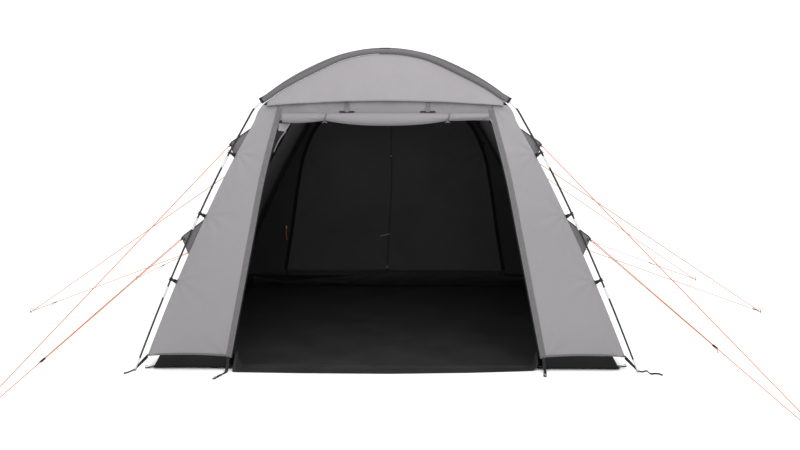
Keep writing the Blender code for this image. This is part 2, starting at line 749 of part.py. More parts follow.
def build():
    for hoop_name, y in HOOPS.items():
        pole(f"{hoop_name}_pole", y)
        sleeve(f"{hoop_name}_pole_sleeve", y)
    roof_and_walls()
    front_gable()
    front_wall()
    rolled_door()
    for side_name, across in TOGGLE_PLACES.items():
        door_toggle(f"{side_name}_door_toggle", across)
    back_wall()
    tunnel()
    groundsheet()
    mud_wall()
    skirts()
    for side_name, hoop_name in PEG_PLACES:
        guys(side_name, hoop_name)
        peg(side_name, hoop_name)


build()
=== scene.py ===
"""Looks of the drive-away awning: cloth, trim, poles, guys, pegs, floor, camera and light."""
import math

import bmesh
import bpy
import numpy as np
from mathutils import Matrix, Vector, noise

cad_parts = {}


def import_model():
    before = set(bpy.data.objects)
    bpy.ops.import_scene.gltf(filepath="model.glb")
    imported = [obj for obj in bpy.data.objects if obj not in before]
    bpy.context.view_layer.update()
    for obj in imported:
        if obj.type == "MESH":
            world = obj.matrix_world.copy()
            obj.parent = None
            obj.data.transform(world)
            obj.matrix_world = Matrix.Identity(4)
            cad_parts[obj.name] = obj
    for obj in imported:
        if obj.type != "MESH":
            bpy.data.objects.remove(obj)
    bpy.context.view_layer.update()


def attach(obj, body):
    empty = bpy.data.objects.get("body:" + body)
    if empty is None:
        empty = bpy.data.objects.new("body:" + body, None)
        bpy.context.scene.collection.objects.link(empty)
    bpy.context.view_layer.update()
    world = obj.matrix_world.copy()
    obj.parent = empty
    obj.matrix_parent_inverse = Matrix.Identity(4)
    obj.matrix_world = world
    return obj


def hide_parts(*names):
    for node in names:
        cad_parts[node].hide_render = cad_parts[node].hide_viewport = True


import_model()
BODY = "root"

# Driving dimensions, as in the part's source
BAY = 1.575
FABRIC = 0.004
GAP = 0.0003
POLE_RADIUS = 0.0063
FERRULE_RADIUS = 0.0078
SLEEVE_RADIUS = 0.016
LEG_STAND_OFF = 0.045
HEM_HEIGHT = 0.10
HEM_RISE = 0.010
ROOF_SAG = 0.02
HELD_HEIGHT = 0.5
HOOP_STATIONS = (
    (0.000, 2.092), (0.230, 2.063), (0.473, 1.960), (0.712, 1.829), (0.853, 1.715),
    (0.880, 1.668), (1.034, 1.400), (1.241, 0.990), (1.466, 0.495), (1.672, 0.000),
)
DOOR_STATIONS = ((0.683, 1.770), (0.815, 1.287), (0.900, 0.880), (1.060, 0.097))
SHOULDER_HEIGHT = 1.815
SHOULDER_DROP = 0.16
SLEEVE_END = 1.772
ROOF_EDGE = 1.765
TAPE_WIDTH = 0.035
DOOR_TOP = 1.655
PANEL_TOP = 1.752
EAVE_HALF_WIDTH = 0.757
EAVE_SIDE_HEIGHT = 1.747
EAVE_RISE = 0.031
EAVE_OVERHANG = 0.020
CLIP_HEIGHTS = (1.450, 1.053, 0.618)
FERRULE_TOPS = (1.427, 1.022, 0.570)
FERRULE_LENGTH = 0.073
PIN_LENGTH = 0.085
PIN_SCALE = 0.7
ROLL_HALF_LENGTH = 0.650
ROLL_TIES = (-0.385, 0.400)
TOGGLE_PLACES = {"left": -0.244, "right": 0.274}
SKIRT_TUCK = 0.12
SKIRT_DROP = 0.018
SKIRT_FLAT = 0.045
SKIRT_TOP_END = 1.500
SKIRT_FOOT_END = 1.565
SIDE_SKIRT_FRONT = 0.450
SIDE_SKIRT_BACK = 0.070
REAR_SKIRT_TUCK = 0.45
SHEET_FRONT = -0.050
SHEET_BACK = 3.080
SHEET_STEP = 0.015
SHEET_CORNER = 0.015
TONGUE_INSET = 0.045
MUD_WALL_HEIGHT = 0.13
MUD_WALL_FRONT = 0.035
BACK_ZIP_STATIONS = (
    (0.560, 1.830), (0.750, 1.670), (0.905, 1.370), (0.980, 1.030), (1.045, 0.600), (1.120, 0.160),
)
BACK_DOOR_TOP = 1.880
BACK_DOOR_SILL = 0.160
TUNNEL_DEPTH = 0.340
TUNNEL_STATIONS = (
    (0.000, 1.925), (0.350, 1.905), (0.600, 1.830), (0.790, 1.680),
    (0.945, 1.370), (1.030, 1.030), (1.100, 0.600), (1.170, 0.002),
)
BEADING_RADIUS = 0.005
BEADING_HALF_WIDTH = 0.80
RING_HEIGHT = 0.012
RING_TURN = 0.0057
GUSSET_SHIFT = 0.022
GUY_LEVELS = (("upper", 1.605, 1.410, 1.490, 0.022), ("lower", 1.014, 0.776, 0.871, 0.040))
GUY_DROPS = {"upper": 0.050, "lower": 0.220}
PEG_HEIGHT = 0.040
PEG_RADIUS = 0.0035
PEG_HOOK = ((0.000, 0.008), (0.006, 0.000), (0.014, 0.000), (0.020, 0.010))
HOOPS = {"front": 0.0, "middle": BAY, "rear": 2 * BAY}
SIDES = {"left": -1, "right": 1}
PEG_PLACES = {
    ("left", "front"): (-2.170, -1.506), ("right", "front"): (2.261, -1.613),
    ("left", "middle"): (-3.153, 1.762), ("right", "middle"): (3.227, 1.838),
    ("left", "rear"): (-2.760, 3.437), ("right", "rear"): (3.191, 3.437),
}

# Dimensions of the dressed pieces
CLOTH = 0.0016              # thickness of the cloth that shows
TAPE = 0.0010               # thickness of sewn-on tape
HEM_WIDTH = 0.019
FRONT_HEM_WIDTH = 0.013
SEAM_WIDTH = 0.014
TAPE_TOP = 1.737
JOINT_END = 1.732           # the pale joint below the sleeve ends here
BAY_GAP = 0.0002            # between the middle hoop and the cloth of each bay
SHEET_CLOTH = 0.0018        # thickness of the floor and the mud wall
SKIRT_ROWS = 26
SKIRT_LOWEST = 0.0021       # the skirts' cloth stays above this height
# Painted light: the rear bay's lining is painted lighter in front of DARKER_FROM, for the light from the
# doorway.
DARKER_FROM = 2.45          # the rear bay's lining gets darker behind this place
DARKER_RATE = 7.0           # and has its full tone after the inverse of this, in metres
CORD_RADIUS = 0.0028        # of the braided guys
SLIDER_PLACES = {           # how far the lower guys' sliders are from their pegs
    ("left", "front"): 0.712, ("right", "front"): 0.923, ("left", "middle"): 0.245,
    ("right", "middle"): 0.062, ("left", "rear"): 0.356, ("right", "rear"): 0.547,
}


# Curves in a hoop's plane, as arrays of (across, height)

def smooth(stations, steps, flat_start=False):
    """Points of one smooth curve through the stations."""
    knots = np.array(stations, float)
    leg = np.diff(knots, axis=0)
    chord = np.linalg.norm(leg, axis=1)
    slope = leg / chord[:, None]
    weight_in, weight_out = chord[:-1, None], chord[1:, None]
    inner = (slope[1:] * weight_in + slope[:-1] * weight_out) / (weight_in + weight_out)
    first = np.array([[1.0, 0.0]]) if flat_start else slope[:1]
    tangent = np.vstack([first, inner, slope[-1:]])
    s = np.linspace(0, 1, steps, endpoint=False)[:, None]
    runs = []
    for i, length in enumerate(chord):
        ends = knots[i] * (2 * s ** 3 - 3 * s ** 2 + 1) + knots[i + 1] * (3 * s ** 2 - 2 * s ** 3)
        pulls = tangent[i] * (s ** 3 - 2 * s ** 2 + s) + tangent[i + 1] * (s ** 3 - s ** 2)
        runs.append(ends + pulls * length)
    return np.vstack(runs + [knots[-1:]])


def run_lengths(line):
    """Distance along a line of points, from its first one."""
    return np.concatenate([[0.0], np.cumsum(np.linalg.norm(np.diff(line, axis=0), axis=1))])


def resample(line, count):
    """A line's points at even spacing."""
    there = run_lengths(line)
    want = np.linspace(0, there[-1], count)
    return np.stack([np.interp(want, there, line[:, k]) for k in range(line.shape[1])], axis=1)


def inward(line, distance):
    """A curve that runs outwards and down, moved towards its inner side."""
    along = np.gradient(line, axis=0)
    along /= np.linalg.norm(along, axis=1)[:, None]
    if abs(line[0, 0]) < 1e-9:
        along[0] = (1.0, 0.0)
    return line + np.stack([along[:, 1], -along[:, 0]], axis=1) * np.reshape(distance, (-1, 1))


def across_at(line, heights):
    """How far out a falling curve is at these heights."""
    return np.interp(-np.asarray(heights, float), -line[:, 1], line[:, 0])


def cut(line, top, bottom):
    """The stretch of a falling curve between two heights, with its exact ends."""
    top, bottom = min(top, line[0, 1]), max(bottom, line[-1, 1])
    inner = line[(line[:, 1] < top) & (line[:, 1] > bottom), 1]
    heights = np.concatenate([[top], inner, [bottom]])
    return np.stack([across_at(line, heights), heights], axis=1)


def both_sides(line):
    """The half curve and its mirror image, as one run from the left end to the right end."""
    return np.vstack([line[:0:-1] * (-1.0, 1.0), line])


def stand_off(height):
    """How far inside the pole the fabric's middle lies."""
    near = SLEEVE_RADIUS + GAP + FABRIC / 2
    ease = np.clip((SHOULDER_HEIGHT - height) / SHOULDER_DROP, 0.0, 1.0)
    return near + (LEG_STAND_OFF - near) * ease * ease * (3 - 2 * ease)


HOOP = smooth(HOOP_STATIONS, 24, flat_start=True)
SKIN = inward(HOOP, stand_off(HOOP[:, 1]))
SKIN_OUT = inward(HOOP, stand_off(HOOP[:, 1]) - FABRIC / 2 + 0.0004)
DOOR_EDGE = smooth(DOOR_STATIONS, 24)
CORNER = float(across_at(SKIN, HEM_HEIGHT))
SHEET_HALF_WIDTH = CORNER - SKIRT_TUCK - FABRIC - 2 * GAP


def eave_height(across):
    return EAVE_SIDE_HEIGHT + EAVE_RISE * (1 - (across / EAVE_HALF_WIDTH) ** 2)


def hem_height(across):
    """The front panels' arched lower edge."""
    inner = across_at(DOOR_EDGE, HEM_HEIGHT)
    share = np.clip((np.abs(across) - inner) / (CORNER - inner), 0.0, 1.0)
    return HEM_HEIGHT + HEM_RISE * 4 * share * (1 - share)


def spot(point, y, side=1):
    """A point of a hoop's plane, in space."""
    return np.array([side * point[0], y, point[1]])


def in_space(line, y, side=1):
    """The points of a curve in a hoop's plane, in space."""
    return np.array([spot(point, y, side) for point in line])


def inward_ways(line, side):
    """The way to the inner side at each point of a curve, in space."""
    return in_space(inward(line, 1.0) - line, 0.0, side)


def grid_of(x, y, z):
    """Points from three coordinates, each a number, a row, a column or a whole grid."""
    return np.stack(np.broadcast_arrays(x, y, z), axis=-1)


def leg_frame(height, y, side):
    """The pole's middle at a height, the way to the fabric and the way down the pole."""
    heights = np.array([height + 0.01, height, height - 0.01])
    upper, middle, lower = np.stack([across_at(HOOP, heights), heights], axis=1)
    down = (lower - upper) / np.linalg.norm(lower - upper)
    fabric = np.array([down[1], -down[0]])
    return spot(middle, y, side), spot(fabric, 0.0, side), spot(down, 0.0, side)


# Materials

class Tree:
    """A material's nodes, made one after another."""

    def __init__(self, name):
        self.material = bpy.data.materials.new(name)
        self.material.use_nodes = True
        self.nodes = self.material.node_tree.nodes
        self.links = self.material.node_tree.links
        self.shader = self.nodes["Principled BSDF"]

    def put(self, socket, value):
        if isinstance(value, bpy.types.NodeSocket):
            self.links.new(value, socket)
        elif isinstance(value, tuple) and len(value) == 3 and socket.type == "RGBA":
            socket.default_value = (*value, 1.0)
        else:
            socket.default_value = value

    def node(self, kind, **inputs):
        made = self.nodes.new(kind)
        for key, value in inputs.items():
            self.put(made.inputs[key.replace("_", " ")], value)
        return made

    def maths(self, operation, a, b=0.0):
        made = self.nodes.new("ShaderNodeMath")
        made.operation = operation
        self.put(made.inputs[0], a)
        self.put(made.inputs[1], b)
        return made.outputs[0]

    def coordinates(self, kind="Object"):
        return self.node("ShaderNodeTexCoord").outputs[kind]

    def noise(self, scale, detail=3.0, roughness=0.5, stretch=None):
        where = self.coordinates()
        if stretch:
            where = self.node("ShaderNodeMapping", Vector=where, Scale=stretch).outputs[0]
        made = self.node("ShaderNodeTexNoise", Vector=where, Scale=scale, Detail=detail, Roughness=roughness)
        return made.outputs["Fac"]

    def ramp(self, factor, stops):
        made = self.node("ShaderNodeValToRGB", Fac=factor)
        for element, (place, colour) in zip(made.color_ramp.elements, stops):
            element.position = place
            element.color = (*colour, 1.0)
        return made.outputs["Color"]

    def mix(self, factor, a, b):
        made = self.nodes.new("ShaderNodeMix")
        made.data_type = "RGBA"
        for socket, value in zip((made.inputs[0], made.inputs[6], made.inputs[7]), (factor, a, b)):
            self.put(socket, value)
        return made.outputs[2]

    def bump(self, height, distance, strength=1.0, under=None):
        made = self.node("ShaderNodeBump", Height=height, Distance=distance, Strength=strength)
        if under is not None:
            self.put(made.inputs["Normal"], under)
        return made.outputs["Normal"]

    def finish(self, colour, roughness, normal=None, **fixed):
        self.put(self.shader.inputs["Base Color"], colour)
        self.put(self.shader.inputs["Roughness"], roughness)
        if normal is not None:
            self.put(self.shader.inputs["Normal"], normal)
        for key, value in fixed.items():
            self.put(self.shader.inputs[key.replace("_", " ")], value)
        return self.material


def shade(colour, factor):
    return tuple(min(channel * factor, 1.0) for channel in colour)


def weave(tree, pitch):
    """Over-and-under threads of a plain weave, from the UV map in metres."""
    uv = tree.node("ShaderNodeSeparateXYZ", Vector=tree.coordinates("UV"))
    turn = 2 * math.pi / pitch
    warp = tree.maths("SINE", tree.maths("MULTIPLY", uv.outputs[0], turn))
    weft = tree.maths("SINE", tree.maths("MULTIPLY", uv.outputs[1], turn))
    return tree.maths("ADD", tree.maths("MULTIPLY", warp, 0.5), tree.maths("MULTIPLY", weft, 0.5))


def woven(name, colour, pitch=0.0012, roughness=0.82, mottle=0.06, crease=0.0010, sheen=0.12, specular=0.4,
          painted_light_tone=None):
    """Coated woven polyester: mottle, soft creases and a fine weave. The optional second tone is painted light:
    the cloth is lighter towards the front, where light from the doorway falls.
    """
    tree = Tree(name)
    broad = tree.noise(1.7, 4.0)
    fine = tree.noise(38.0, 5.0)
    tone = tree.maths("ADD", tree.maths("MULTIPLY", broad, 0.7), tree.maths("MULTIPLY", fine, 0.3))
    base = tree.ramp(tone, [(0.3, shade(colour, 1 - mottle)), (0.7, shade(colour, 1 + mottle))])
    # Painted light: a lighter tone in front of DARKER_FROM, where light from the doorway falls, blending into
    # the cloth's own tone behind it.
    if painted_light_tone:
        along = tree.node("ShaderNodeSeparateXYZ", Vector=tree.coordinates()).outputs[1]
        back = tree.maths("MULTIPLY", tree.maths("SUBTRACT", along, DARKER_FROM), DARKER_RATE)
        out_of_painted_light = tree.maths("MINIMUM", tree.maths("MAXIMUM", back, 0.0), 1.0)
        base = tree.mix(out_of_painted_light, painted_light_tone, base)
    creases = tree.bump(tree.noise(9.0, 6.0, 0.62), crease, 0.5)
    threads = tree.bump(weave(tree, pitch), 0.00012, 0.3, under=creases)
    rough = tree.maths("ADD", tree.maths("MULTIPLY", fine, 0.12), roughness - 0.06)
    return tree.finish(base, rough, threads, Sheen_Weight=sheen, Sheen_Roughness=0.5,
                       Specular_IOR_Level=specular)


def stitched(name, colour, thread, pitch=0.0011, roughness=0.78, specular=0.4):
    """Sewn-on tape. u runs along it in metres and v across it from 0 to 1, with stitches by each edge."""
    tree = Tree(name)
    uv = tree.node("ShaderNodeSeparateXYZ", Vector=tree.coordinates("UV"))
    from_middle = tree.maths("ABSOLUTE", tree.maths("SUBTRACT", uv.outputs[1], 0.5))
    from_row = tree.maths("ABSOLUTE", tree.maths("SUBTRACT", from_middle, 0.37))
    on_row = tree.maths("LESS_THAN", from_row, 0.022)
    dash = tree.maths("LESS_THAN", tree.maths("FRACT", tree.maths("DIVIDE", uv.outputs[0], 0.0045)), 0.68)
    stitch = tree.maths("MULTIPLY", on_row, dash)
    ribs = tree.maths("SINE", tree.maths("MULTIPLY", uv.outputs[0], 2 * math.pi / pitch))
    fine = tree.noise(60.0, 4.0)
    base = tree.ramp(fine, [(0.3, shade(colour, 0.88)), (0.7, shade(colour, 1.12))])
    base = tree.mix(stitch, base, thread)
    ribbed = tree.bump(ribs, 0.0001, 0.4)
    pucker = tree.maths("SUBTRACT", 1.0, tree.maths("MULTIPLY", on_row, 0.8))
    puckered = tree.bump(pucker, 0.0005, 0.6, under=ribbed)
    rough = tree.maths("ADD", tree.maths("MULTIPLY", fine, 0.1), roughness - 0.05)
    raised = tree.bump(stitch, 0.0005, 0.8, under=puckered)
    return tree.finish(base, rough, raised, Sheen_Weight=0.3 * specular, Sheen_Roughness=0.5,
                       Specular_IOR_Level=specular)


def sheeting(name, colour, roughness=0.55, crease=0.002, specular=0.5):
    """Black coated floor and mud-flap sheet, with a fine grid, long soft creases and a dull sheen."""
    tree = Tree(name)
    dust = tree.noise(3.0, 6.0, 0.6)
    base = tree.ramp(dust, [(0.35, shade(colour, 0.8)), (0.75, shade(colour, 1.35))])
    long_folds = tree.bump(tree.noise(2.2, 3.0, 0.5, stretch=(0.35, 3.0, 1.0)), crease * 2, 0.5)
    creases = tree.bump(tree.noise(5.0, 7.0, 0.58), crease, 0.5, under=long_folds)
    grid = tree.bump(weave(tree, 0.0024), 0.0002, 0.5, under=creases)
    rough = tree.maths("ADD", tree.maths("MULTIPLY", dust, 0.2), roughness - 0.1)
    return tree.finish(base, rough, grid, Specular_IOR_Level=specular)


def hard(name, colour, roughness, metallic=0.0, grain=80.0, wear=0.15, specular=0.5):
    """Moulded plastic, glass fibre or metal, with faint handling wear."""
    tree = Tree(name)
    fine = tree.noise(grain, 4.0)
    base = tree.ramp(fine, [(0.3, shade(colour, 1 - wear)), (0.75, shade(colour, 1 + wear))])
    rough = tree.maths("ADD", tree.maths("MULTIPLY", fine, 0.2), roughness - 0.1)
    return tree.finish(base, rough, tree.bump(fine, 0.0002, 0.2), Metallic=metallic,
                       Specular_IOR_Level=specular)


def braid(name, colour, fleck):
    """Braided guy line: u runs along it in metres and v round it, with flecks on a slant."""
    tree = Tree(name)
    uv = tree.node("ShaderNodeSeparateXYZ", Vector=tree.coordinates("UV"))
    slant = tree.maths("ADD", tree.maths("DIVIDE", uv.outputs[0], 0.006), uv.outputs[1])
    band = tree.maths("SINE", tree.maths("MULTIPLY", slant, 2 * math.pi))
    base = tree.mix(tree.maths("GREATER_THAN", band, 0.86), colour, fleck)
    return tree.finish(base, 0.7, tree.bump(band, 0.0003, 0.6), Sheen_Weight=0.2)


GREY_TONE = (0.193, 0.185, 0.193)
TAPE_TONE = (0.092, 0.0885, 0.092)
TAPE_THREAD = (0.13, 0.126, 0.13)
INSIDE = {"roughness": 0.75, "mottle": 0.15, "sheen": 0.0, "specular": 0.2}
MATERIALS = {
    "grey": woven("grey_polyester", GREY_TONE),
    # lintel: the grey cloth, painted darker for the shade under the gable's overhang
    "lintel": woven("lintel_polyester_painted_shade", shade(GREY_TONE, 0.86)),
    # roll: the grey cloth, painted darker for the shade under the gable's overhang
    "roll": woven("rolled_door_polyester_painted_shade", shade(GREY_TONE, 0.80)),
    "lining": woven("black_lining", (0.031, 0.031, 0.032), **INSIDE),
    # rear bay: the black lining, with painted light from the doorway towards its front
    "rear_lining": woven("rear_bay_lining_painted_light", (0.031, 0.031, 0.032), painted_light_tone=(0.100, 0.100, 0.101), **INSIDE),
    # front bay: the black lining, painted lighter for the light that falls in through the doorway
    "front_lining": woven("front_bay_lining_painted_light", (0.110, 0.110, 0.111), **INSIDE),
    "leaf": woven("back_door_lining", (0.061, 0.061, 0.062), **INSIDE),
    "trim": woven("trim_polyester", (0.0735, 0.0707, 0.0748), mottle=0.1),
    "gusset": woven("gusset_polyester", (0.112, 0.107, 0.112), mottle=0.1),
    "tape": stitched("door_tape", TAPE_TONE, TAPE_THREAD),
    "hem": stitched("hem_tape", TAPE_TONE, TAPE_THREAD),
    "seam": stitched("seam_tape", shade(GREY_TONE, 0.96), shade(GREY_TONE, 0.80)),
    # binding: a real hem, painted darker for the shadow line under the gable's hem
    "binding": stitched("gable_binding_painted_shadow", shade(GREY_TONE, 0.85), shade(GREY_TONE, 0.72)),
    "webbing": stitched("black_webbing", (0.014, 0.014, 0.0145), (0.04, 0.04, 0.041), specular=0.15),
    "zip": stitched("zip_tape", (0.006, 0.006, 0.0065), (0.016, 0.016, 0.016), specular=0.15),
    "door_zip": stitched("back_door_zip_tape", (0.036, 0.036, 0.0365), (0.045, 0.045, 0.045), specular=0.15),
    "sheet": sheeting("groundsheet_cloth", (0.021, 0.021, 0.0215), specular=0.22),
    "mud": sheeting("mud_wall_sheet", (0.012, 0.012, 0.0122), specular=0.25),
    "flap": sheeting("mud_flap_cloth", (0.0085, 0.0085, 0.009), 0.7, specular=0.1),
    "rod": hard("glass_fibre_rod", (0.013, 0.013, 0.0145), 0.38, specular=0.3),
    "ferrule": hard("steel_ferrule", (0.55, 0.56, 0.57), 0.34, 0.6),
    "steel": hard("peg_steel", (0.42, 0.42, 0.43), 0.36, 0.9),
    "plastic": hard("black_plastic", (0.010, 0.010, 0.0105), 0.45, specular=0.15),
    "pale_plastic": hard("pale_zip_pull", (0.50, 0.50, 0.48), 0.5),
    "orange": braid("orange_guy", (0.44, 0.12, 0.03), (0.28, 0.06, 0.014)),
}


# Meshes

def link(name, mesh, materials):
    obj = bpy.data.objects.new(name, mesh)
    bpy.context.scene.collection.objects.link(obj)
    for key in materials:
        mesh.materials.append(MATERIALS[key])
    return obj


def fitted(obj, nodes=()):
    """The piece rides on the awning's one body, and the model's parts that it replaces are hidden."""
    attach(obj, BODY)
    if nodes:
        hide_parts(*nodes)
    return obj


def corners(grid):
    """The four corners of each cell of a grid, in the order of a face."""
    return np.stack([grid[:-1, :-1], grid[:-1, 1:], grid[1:, 1:], grid[1:, :-1]], axis=2)


def grid_mesh(name, points, uv=None, closed=False, caps=False):
    """Faces over a grid of points. closed joins the last column to the first, and caps closes both ends."""
    rows, columns = points.shape[:2]
    index = np.arange(rows * columns).reshape(rows, columns)
    if closed:
        index = np.hstack([index, index[:, :1]])
        points_uv = np.concatenate([points, points[:, :1]], axis=1)
    else:
        points_uv = points
    if uv is None:
        over = run_lengths(points_uv[rows // 2])
        uv = np.stack(np.meshgrid(over, run_lengths(points_uv[:, 0])), axis=-1)
    faces = corners(index).reshape(-1, 4).tolist()
    flat = corners(uv).reshape(-1, 2)
    if caps:
        faces += [index[0, columns - 1::-1].tolist(), index[-1, :columns].tolist()]
        flat = np.vstack([flat, np.zeros((2 * columns, 2))])
    mesh = bpy.data.meshes.new(name)
    mesh.from_pydata(points.reshape(-1, 3).tolist(), [], faces)
    layer = mesh.uv_layers.new(name="UVMap")
    layer.data.foreach_set("uv", flat.astype(np.float32).ravel())
    mesh.shade_smooth()
    return mesh


def normals_of(points):
    """Unit normals of a grid of points: its faces' outer side."""
    normal = np.cross(np.gradient(points, axis=1), np.gradient(points, axis=0))
    return normal / np.maximum(np.linalg.norm(normal, axis=2), 1e-9)[..., None]


def facing(points, direction):
    """The grid with its columns in the order that makes its faces look this way."""
    mean = normals_of(points).reshape(-1, 3).mean(axis=0)
    return points if mean @ np.array(direction, float) > 0 else points[:, ::-1]


def pushed(points, amount):
    """The grid with each point moved along its normal."""
    return points + normals_of(points) * np.broadcast_to(amount, points.shape[:2])[..., None]


def uv_grid(along, v):
    """u along each row in metres, and v across it."""
    return np.stack([np.repeat(along[:, None], len(v), axis=1), np.tile(v, (len(along), 1))], axis=-1)


def flat_size(points):
    """Width and length of a grid laid flat, and its area."""
    width = np.linalg.norm(np.diff(points, axis=1), axis=2).sum(axis=1).max()
    length = np.linalg.norm(np.diff(points, axis=0), axis=2).sum(axis=0).max()
    a, b, c, d = np.moveaxis(corners(points), 2, 0)
    area = np.linalg.norm(np.cross(c - a, d - b), axis=2).sum() / 2
    return float(width), float(length), float(area)


def cloth(name, points, outer="grey", inner="lining", thickness=CLOTH, nodes=(),
          across=None):
    """Cloth over a grid whose faces look outwards. Its flat size, or the width given, is worked out but not
    used further.
    """
    obj = link(name, grid_mesh(name, points), [outer, inner])
    wall = obj.modifiers.new("cloth", "SOLIDIFY")
    wall.thickness = thickness
    wall.offset = -1.0
    wall.use_even_offset = False
    wall.material_offset = 1
    fitted(obj, nodes)
    width, length, area = flat_size(points)
    width = across or width
    return obj


# Small relief of cloth, as distances along its normal

def soft_noise(points, scale, seed):
    """Smooth noise between about -1 and 1. scale is cycles a metre, for all axes or for each."""
    shift = np.array([17.3, 5.1, 9.7]) * seed
    where = points.reshape(-1, 3) * np.array(scale, float) + shift
    return np.array([noise.noise(Vector(p)) for p in where]).reshape(points.shape[:2])


def creases(points, scale, seed):
    """Soft ridges, like the creases of cloth that was packed away."""
    return 0.5 - np.sqrt(np.abs(soft_noise(points, scale, seed)))


def fold_fan(points, anchor, count, reach, height, axes=(0, 2), turn=0.0):
    """Tension folds that spread from a point and fade with distance."""
    away = points - np.array(anchor)
    distance = np.linalg.norm(away, axis=2)
    angle = np.arctan2(away[..., axes[1]], away[..., axes[0]])
    fade = np.exp(-(distance / reach) ** 1.2) * np.clip(distance / 0.04, 0.0, 1.0)
    return height * fade * np.cos(count * angle + turn)


def edge_fade(share, width=0.12):
    """0 at both ends of a share that runs from 0 to 1, and 1 away from them."""
    return np.clip(np.minimum(share, 1 - share) / width, 0.0, 1.0)


# Tapes, tubes and small blocks

def ribbon_mesh(name, line, side, width, thickness):
    """A flat tape along a line. side, the way of its width, and the width are for all points or each."""
    line = np.array(line, float)
    side = np.broadcast_to(np.array(side, float), line.shape)
    side = side / np.linalg.norm(side, axis=1)[:, None]
    over = np.linspace(-0.5, 0.5, 4)
    along = run_lengths(line)
    face = np.gradient(line, axis=0)
    normal = np.cross(side, face)
    normal /= np.linalg.norm(normal, axis=1)[:, None]
    rows = [line + side * width * o for o in over]
    front = np.stack([row + normal * thickness / 2 for row in rows], axis=1)
    back = np.stack([row - normal * thickness / 2 for row in rows], axis=1)
    around = np.concatenate([front, back[:, ::-1]], axis=1)
    v = np.concatenate([over + 0.5, (over + 0.5)[::-1], [0.0]])
    mesh = grid_mesh(name, around, uv_grid(along, v), closed=True, caps=True)
    mesh.set_sharp_from_angle(angle=math.radians(40))
    return mesh


def strip_mesh(name, points, place, width, from_end=False, lift=0.0008, thickness=TAPE):
    """A sewn-on tape down a grid's rows, at a distance from each row's first or last point."""
    normal = normals_of(points)
    offsets = np.linspace(-0.5, 0.5, 4) * width
    line = np.empty((len(points), 4, 3))
    for row, (spots, ways) in enumerate(zip(points, normal)):
        there = run_lengths(spots)
        want = there[-1] - place + offsets if from_end else place + offsets
        for k in range(3):
            line[row, :, k] = np.interp(want, there, spots[:, k] + ways[:, k] * lift)
    side = line[:, -1] - line[:, 0]
    return ribbon_mesh(name, line.mean(axis=1), side, width, thickness)


def tube_points(line, radius, sides):
    """Rings of points round a line, without twist. radius is one number or one for each point."""
    line = np.array(line, float)
    along = np.gradient(line, axis=0)
    along /= np.linalg.norm(along, axis=1)[:, None]
    last = np.array([0.0, 0.0, 1.0]) if abs(along[0, 2]) < 0.9 else np.array([1.0, 0.0, 0.0])
    across = np.zeros_like(line)
    for i, direction in enumerate(along):
        last = last - direction * (last @ direction)
        last = last / np.linalg.norm(last)
        across[i] = last
    other = np.cross(along, across)
    angle = np.linspace(0, 2 * math.pi, sides, endpoint=False)
    ring = across[:, None] * np.cos(angle)[None, :, None] + other[:, None] * np.sin(angle)[None, :, None]
    reach = np.broadcast_to(np.array(radius, float), (len(line),))[:, None, None]
    return line[:, None] + ring * reach


def tube_mesh(name, line, radius, sides=10):
    """A capped tube with u along it in metres and v round it."""
    line = np.array(line, float)
    uv = uv_grid(run_lengths(line), np.linspace(0, 1, sides + 1))
    mesh = grid_mesh(name, tube_points(line, radius, sides), uv, closed=True, caps=True)
    mesh.set_sharp_from_angle(angle=math.radians(55))
    return mesh


def rounded_tube(name, line, radius, sides=12, closing=5):
    """A tube whose ends are rounded."""
    line = np.array(line, float)
    first = (line[0] - line[1]) / np.linalg.norm(line[0] - line[1])
    last = (line[-1] - line[-2]) / np.linalg.norm(line[-1] - line[-2])
    turn = np.linspace(0, math.pi / 2 * 0.93, closing)[1:]
    start = [line[0] + first * radius * math.sin(t) for t in reversed(turn)]
    end = [line[-1] + last * radius * math.sin(t) for t in turn]
    small = [radius * math.cos(t) for t in turn]
    radii = list(reversed(small)) + [radius] * len(line) + small
    return tube_mesh(name, np.vstack([start, line, end]), radii, sides)


def block_mesh(name, size, centre, along=(1, 0, 0), up=(0, 0, 1), bevel=0.0012):
    """A block with rounded edges, whose X side lies along a direction."""
    x = Vector(along).normalized()
    y = Vector(up).cross(x).normalized()
    turned = Matrix((x, y, x.cross(y))).transposed().to_4x4()
    bm = bmesh.new()
    bmesh.ops.create_cube(bm, size=1.0, calc_uvs=True)
    bmesh.ops.scale(bm, vec=size, verts=bm.verts)
    bmesh.ops.bevel(bm, geom=list(bm.edges), offset=min(bevel, min(size) * 0.3), segments=2, profile=0.5,
                    affect="EDGES")
    bmesh.ops.transform(bm, matrix=Matrix.Translation(centre) @ turned, verts=bm.verts)
    mesh = bpy.data.meshes.new(name)
    bm.to_mesh(mesh)
    bm.free()
    mesh.shade_smooth()
    mesh.set_sharp_from_angle(angle=math.radians(45))
    return mesh


def knot_mesh(name, centre, size, radius, tilt=(1, 0, 0)):
    """A small overhand knot."""
    turn = np.linspace(0, 2 * math.pi, 49)
    x = np.sin(turn) + 2 * np.sin(2 * turn)
    y = np.cos(turn) - 2 * np.cos(2 * turn)
    line = grid_of(x, y, -np.sin(3 * turn)) * size / 3
    rotation = np.array(Vector((0, 0, 1)).rotation_difference(Vector(tilt)).to_matrix())
    return tube_mesh(name, line @ rotation.T + np.array(centre), radius, 8)


def arc(centre, u, v, radius, start, end, count):
    """Points of an arc in the plane of two directions, from one angle to another in degrees."""
    angle = np.radians(np.linspace(start, end, count))[:, None]
    return np.array(centre) + radius * (np.cos(angle) * np.array(u) + np.sin(angle) * np.array(v))


